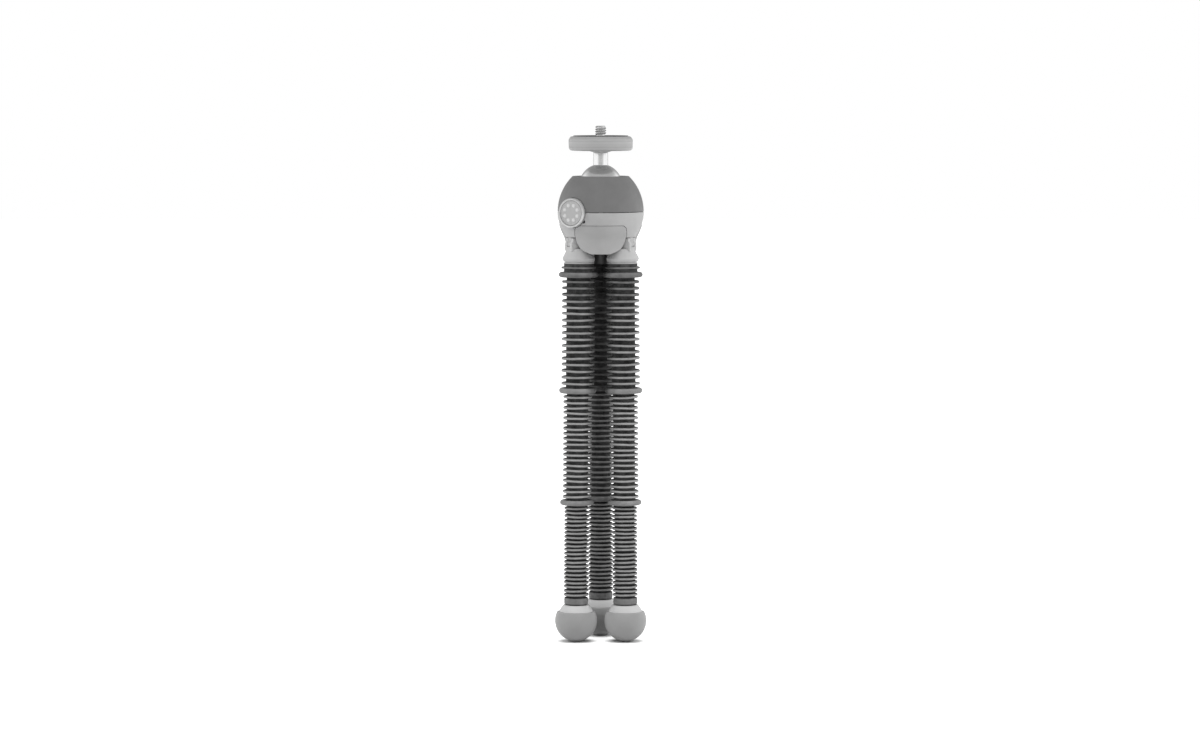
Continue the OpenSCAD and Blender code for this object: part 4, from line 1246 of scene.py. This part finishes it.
class TRIPOD_OT_shoulders(bpy.types.Operator):
    """Makes the bell of each leg with its hip knuckles"""
    bl_idname = "tripod.shoulders"
    bl_label = "Shoulders"

    def execute(self, context):
        for leg in LEGS:
            self.shoulder(leg)
        return {"FINISHED"}

    def shoulder(self, leg):
        place = leg_place(leg)
        back = place.inverted()
        joint = (back @ (joint_point(f"leg_{leg}_bend_1") * MM)).z
        low = joint + 14
        top = joint_point(f"leg_{leg}_hip").z - 2.25
        bell = top - 5.45
        skirt, groove, groove_low, groove_high = 8.2, 7.6, bell - 2.2, bell - 1.75
        outline = [(0, low, 0), (skirt, low, 0.3), (skirt, groove_low - 0.15, 0.1),
                   (groove, groove_low, 0.05), (groove, groove_high, 0.05),
                   (8.25, groove_high + 0.15, 0.2), (8.7, bell - 0.7, 0.3), (8.9, bell, 0.6),
                   (8.2, bell + 1.5, 1.5), (7.5, bell + 2.9, 3), (6.9, top - 1.2, 1),
                   (6.4, top - 0.2, 0.5), (5.9, top, 0.4), (0, top, 0)]
        shape = moved(turned(subdivided(rounded(outline, 5), 2.0), 96), place)
        hips = joined(shape, *self.knuckles(leg), self.stalk(place, joint, low))
        piece = solid_piece(f"leg_{leg}_bell", hips, "shoulder_plastic", sharp=40)
        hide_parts(f"leg_{leg}_shoulder")
        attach(piece, f"leg_{leg}_top")

    def knuckles(self, leg):
        """Two knuckles with a slot between them and a low saddle in it, drawn on their side."""
        radius, half, slot, inner, low, high = 2.3, 3.9, 1.6, -8, -3.5, 3.5
        shoulder = [(1.5, 2.1, 0), (1.5, high - 0.4, 0), (1.2, high, 0)]
        base = [(inner, low, 0), (radius, low, 0)]
        plate = base + arc(0, 0, radius, 0, 45, 8) + shoulder + [(inner, high, 0)]
        hollow = arc(0, 0, radius - 0.1, -38, -125, 12)
        saddle = base + [(radius, hollow[0][1], 0)] + hollow + [(inner, hollow[-1][1], 0)]
        return hip_shapes(leg, [(plate, -half, -slot, 0.2), (plate, slot, half, 0.2),
                                (saddle, -slot - 0.3, slot + 0.3, 0)])

    def stalk(self, place, joint, low):
        """The ball that the first link hangs on, and its neck."""
        ball, neck, stalk, end = 3.1, 1.3, 3.2, low + 0.5
        outline = arc(0, joint, ball, -90, 65, 24)
        outline += [(neck, joint + 4.6, 0), (stalk, joint + 6.5, 0), (stalk, end, 0), (0, end, 0)]
        return moved(turned(rounded(outline), 48), place)


class TRIPOD_OT_frame(bpy.types.Operator):
    """Makes the frame's disc and the lugs that the legs hang on"""
    bl_idname = "tripod.frame"
    bl_label = "Frame"

    def execute(self, context):
        sizes = in_mm(context.scene.tripod_shells)
        frame_size, lower = extent("core_frame", HEAD), extent("lower_shell", HEAD)
        disc, edge, post, hub = lower.low + 0.9, 19, 4, 12
        disc_top = disc + 2.5
        outline = [(0, frame_size.low, 0), (post, frame_size.low, 0.3), (post, disc, 0),
                   (edge, disc, 0.2), (edge, disc_top, 0.2), (hub, disc_top, 0),
                   (hub, frame_size.high, 0), (0, frame_size.high, 0)]
        # The disc's dark finish is painted shade in the gaps below the lobes.
        piece = solid_piece("frame_disc", turned(rounded(outline), 96), "frame_plastic")
        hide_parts("core_frame")
        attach(piece, "head")
        lugs = joined(*[self.lug(leg, sizes.lug_thickness, disc) for leg in LEGS])
        piece = solid_piece("frame_lugs", lugs, "light_shell")
        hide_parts("core_frame")
        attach(piece, "head")
        return {"FINISHED"}

    def lug(self, leg, thickness, disc):
        """A lug with a round end about the hip pin."""
        radius, inner, edge, rise = 2.1, -8, 1.4, disc - joint_point(f"leg_{leg}_hip").z
        outline = [(inner, 0, 0)] + arc(0, 0, radius, -170, 45, 28)
        outline += [(edge, 2, 0), (edge, rise, 0), (inner, rise, 0)]
        return hip_shapes(leg, [(outline, -thickness / 2, thickness / 2, 0.15)])[0]


class TRIPOD_OT_inner_parts(bpy.types.Operator):
    """Gives the pins, the clamp and the links their surfaces"""
    bl_idname = "tripod.inner_parts"
    bl_label = "Inner parts"

    def execute(self, context):
        for node, material in (
                ("clamp_cup", "frame_plastic"), ("hip_pins", "steel"),
                ("shell_screws", "steel"), ("seat_liner", "liner_plastic"), ("clamp_screw", "steel"),
                ("clamp_wedge", "wedge_plastic")):
            dress(node, material)
        for leg in LEGS:
            for number in range(1, 8):
                dress(f"leg_{leg}_link_{number}", "link_plastic")
        return {"FINISHED"}


# Stage

def stage_world(settings):
    """White to the camera. What shines sees a studio that is darker in front, behind and overhead."""
    world = bpy.data.worlds.new("studio")
    bpy.context.scene.world = world
    world.use_nodes = True
    tree = world.node_tree
    tree.nodes.clear()
    way = tree.nodes.new("ShaderNodeTexCoord").outputs["Generated"]
    parts = add_node(tree, "ShaderNodeSeparateXYZ", {0: way}).outputs
    forward = add_math(tree, "DIVIDE", add_math(tree, "MULTIPLY", parts[1], -1.0),
                       add_math(tree, "MAXIMUM", from_axis(tree, parts), 0.001))
    ahead = ranged(tree, forward, 0.0, 0.56, 0.58, 0.98, "SMOOTHSTEP")
    low = ranged(tree, add_math(tree, "ABSOLUTE", parts[2]), 1.0, 0.0, 0.12, 0.36, "SMOOTHSTEP")
    front = add_math(tree, "SUBTRACT", 1.0, add_math(tree, "MULTIPLY", ahead, low))
    overhead = ranged(tree, parts[2], 1.0, 0.42, 0.3, 0.72, "SMOOTHSTEP")
    behind = ranged(tree, forward, 0.4, 1.12, -0.97, -0.6, "SMOOTHSTEP")
    level_ways = add_math(tree, "MULTIPLY", front, behind)
    shining = add_math(tree, "MULTIPLY", level_ways, overhead)
    shine = add_node(tree, "ShaderNodeBackground", {"Strength": shining})
    even = add_node(tree, "ShaderNodeBackground", {"Strength": settings.room_light})
    white = add_node(tree, "ShaderNodeBackground", {"Strength": 1.0})
    for background in (shine, even, white):
        background.inputs["Color"].default_value = (1, 1, 1, 1)
    rays = tree.nodes.new("ShaderNodeLightPath").outputs
    lit = add_node(tree, "ShaderNodeMixShader", {
        0: rays["Is Glossy Ray"], 1: even.outputs[0], 2: shine.outputs[0]})
    seen = add_node(tree, "ShaderNodeMixShader", {
        0: rays["Is Camera Ray"], 1: lit.outputs[0], 2: white.outputs[0]})
    add_node(tree, "ShaderNodeOutputWorld", {"Surface": seen.outputs[0]})


def stage_floor():
    """A pale floor that glows white but for a painted shadow close round each foot, where the glow
    fades out.
    """
    half_size, below, level, dark_to, white_from = 6, 0.0001, 0.68, 0.006, 0.0135
    shape = bmesh.new()
    bmesh.ops.create_grid(shape, x_segments=1, y_segments=1, size=half_size)
    mesh = as_mesh("floor", shape)
    mesh.transform(Matrix.Translation((0, 0, -below)))
    material = bpy.data.materials.new("floor_paper")
    material.use_nodes = True
    tree = material.node_tree
    tree.nodes.clear()
    paper = add_node(tree, "ShaderNodeBsdfDiffuse", {"Color": (level, level, level, 1)})
    place = tree.nodes.new("ShaderNodeTexCoord").outputs["Object"]
    away = [add_node(tree, "ShaderNodeVectorMath", {
        0: place, 1: leg_place(leg).to_translation()}, operation="DISTANCE").outputs["Value"]
        for leg in LEGS]
    nearest = add_math(tree, "MINIMUM", away[0], add_math(tree, "MINIMUM", away[1], away[2]))
    # Painted shadow: the glow fades near where each foot rests, whether or not a foot is there.
    strength = ranged(tree, nearest, 0.0, 0.9, dark_to, white_from, "SMOOTHSTEP")
    glow = add_node(tree, "ShaderNodeEmission", {"Color": (1, 1, 1, 1), "Strength": strength})
    both = add_node(tree, "ShaderNodeAddShader", {0: paper.outputs[0], 1: glow.outputs[0]})
    rays = tree.nodes.new("ShaderNodeLightPath").outputs
    seen = add_math(tree, "MAXIMUM", rays["Is Camera Ray"], rays["Is Glossy Ray"])
    mixed = add_node(tree, "ShaderNodeMixShader", {0: seen, 1: paper.outputs[0], 2: both.outputs[0]})
    add_node(tree, "ShaderNodeOutputMaterial", {"Surface": mixed.outputs[0]})
    mesh.materials.append(material)
    new_object("floor", mesh)


def stage_lamp(name, power, place):
    """A soft lamp that points at the part."""
    size, target = 0.35, Vector((0, 0, 0.1))
    light = bpy.data.lights.new(name, "AREA")
    light.shape = "RECTANGLE"
    light.size = light.size_y = size
    light.energy = power
    lamp = new_object(name, light)
    lamp.visible_glossy = False
    lamp.location = place
    lamp.rotation_euler = (target - Vector(place)).to_track_quat("-Z", "Y").to_euler()


def stage_camera(settings):
    """The photograph's view: a long lens a little above the middle of the part."""
    scale = settings.focal_length / SENSOR_WIDTH * PHOTO_SIZE[0] / settings.camera_distance
    axis_pixel, middle_height = 600.7, 0.1439
    middle = Vector(((PHOTO_SIZE[0] / 2 - axis_pixel) / scale, 0, middle_height))
    rise = settings.camera_height
    data = bpy.data.cameras.new("camera")
    data.lens = settings.focal_length
    data.sensor_width = SENSOR_WIDTH
    camera = new_object("camera", data)
    back = Vector((0, -math.cos(rise), math.sin(rise))) * settings.camera_distance
    camera.location = middle + back
    camera.rotation_euler = (-back).to_track_quat("-Z", "Y").to_euler()
    bpy.context.scene.camera = camera


class TRIPOD_OT_stage(bpy.types.Operator):
    """Makes the floor, the studio light and the camera"""
    bl_idname = "tripod.stage"
    bl_label = "Stage"

    def execute(self, context):
        settings = context.scene.tripod_stage
        context.scene.view_settings.view_transform = "Standard"
        stage_world(settings)
        stage_floor()
        stage_lamp("key_lamp", settings.key_light, (1.2, -0.35, 1.1))
        stage_lamp("fill_lamp", settings.fill_light, (-1.2, -0.35, 1.1))
        stage_camera(settings)
        return {"FINISHED"}


class TRIPOD_PT_panel(bpy.types.Panel):
    """Lists what makes the tripod"""
    bl_label = "Tripod"
    bl_idname = "TRIPOD_PT_panel"
    bl_space_type = "VIEW_3D"
    bl_region_type = "UI"
    bl_category = "Tripod"

    def draw(self, context):
        for operator in OPERATORS:
            self.layout.operator(operator.bl_idname)
        for group in GROUP_NAMES:
            box = self.layout.box()
            settings = getattr(context.scene, group)
            for prop in settings.bl_rna.properties:
                if prop.identifier not in ("rna_type", "name"):
                    box.prop(settings, prop.identifier)


OPERATORS = (
    TRIPOD_OT_sleeves, TRIPOD_OT_feet, TRIPOD_OT_camera_screw, TRIPOD_OT_camera_plate, TRIPOD_OT_ball,
    TRIPOD_OT_knob, TRIPOD_OT_shells, TRIPOD_OT_shoulders, TRIPOD_OT_frame, TRIPOD_OT_inner_parts,
    TRIPOD_OT_stage)
GROUP_NAMES = {
    "tripod_sleeves": TripodSleeves, "tripod_head": TripodHead, "tripod_shells": TripodShells,
    "tripod_finishes": TripodFinishes, "tripod_stage": TripodStage}


def register():
    for group in GROUP_NAMES.values():
        bpy.utils.register_class(group)
    for name, group in GROUP_NAMES.items():
        setattr(bpy.types.Scene, name, PointerProperty(type=group))
    for shown in OPERATORS + (TRIPOD_PT_panel,):
        bpy.utils.register_class(shown)


def unregister():
    for shown in reversed(OPERATORS + (TRIPOD_PT_panel,)):
        bpy.utils.unregister_class(shown)
    for name, group in reversed(GROUP_NAMES.items()):
        delattr(bpy.types.Scene, name)
        bpy.utils.unregister_class(group)


def main():
    """Makes every piece in turn."""
    register()
    bpy.ops.tripod.sleeves()
    bpy.ops.tripod.feet()
    bpy.ops.tripod.camera_screw()
    bpy.ops.tripod.camera_plate()
    bpy.ops.tripod.ball()
    bpy.ops.tripod.knob()
    bpy.ops.tripod.shells()
    bpy.ops.tripod.shoulders()
    bpy.ops.tripod.frame()
    bpy.ops.tripod.inner_parts()
    bpy.ops.tripod.stage()


if __name__ == "__main__":
    main()
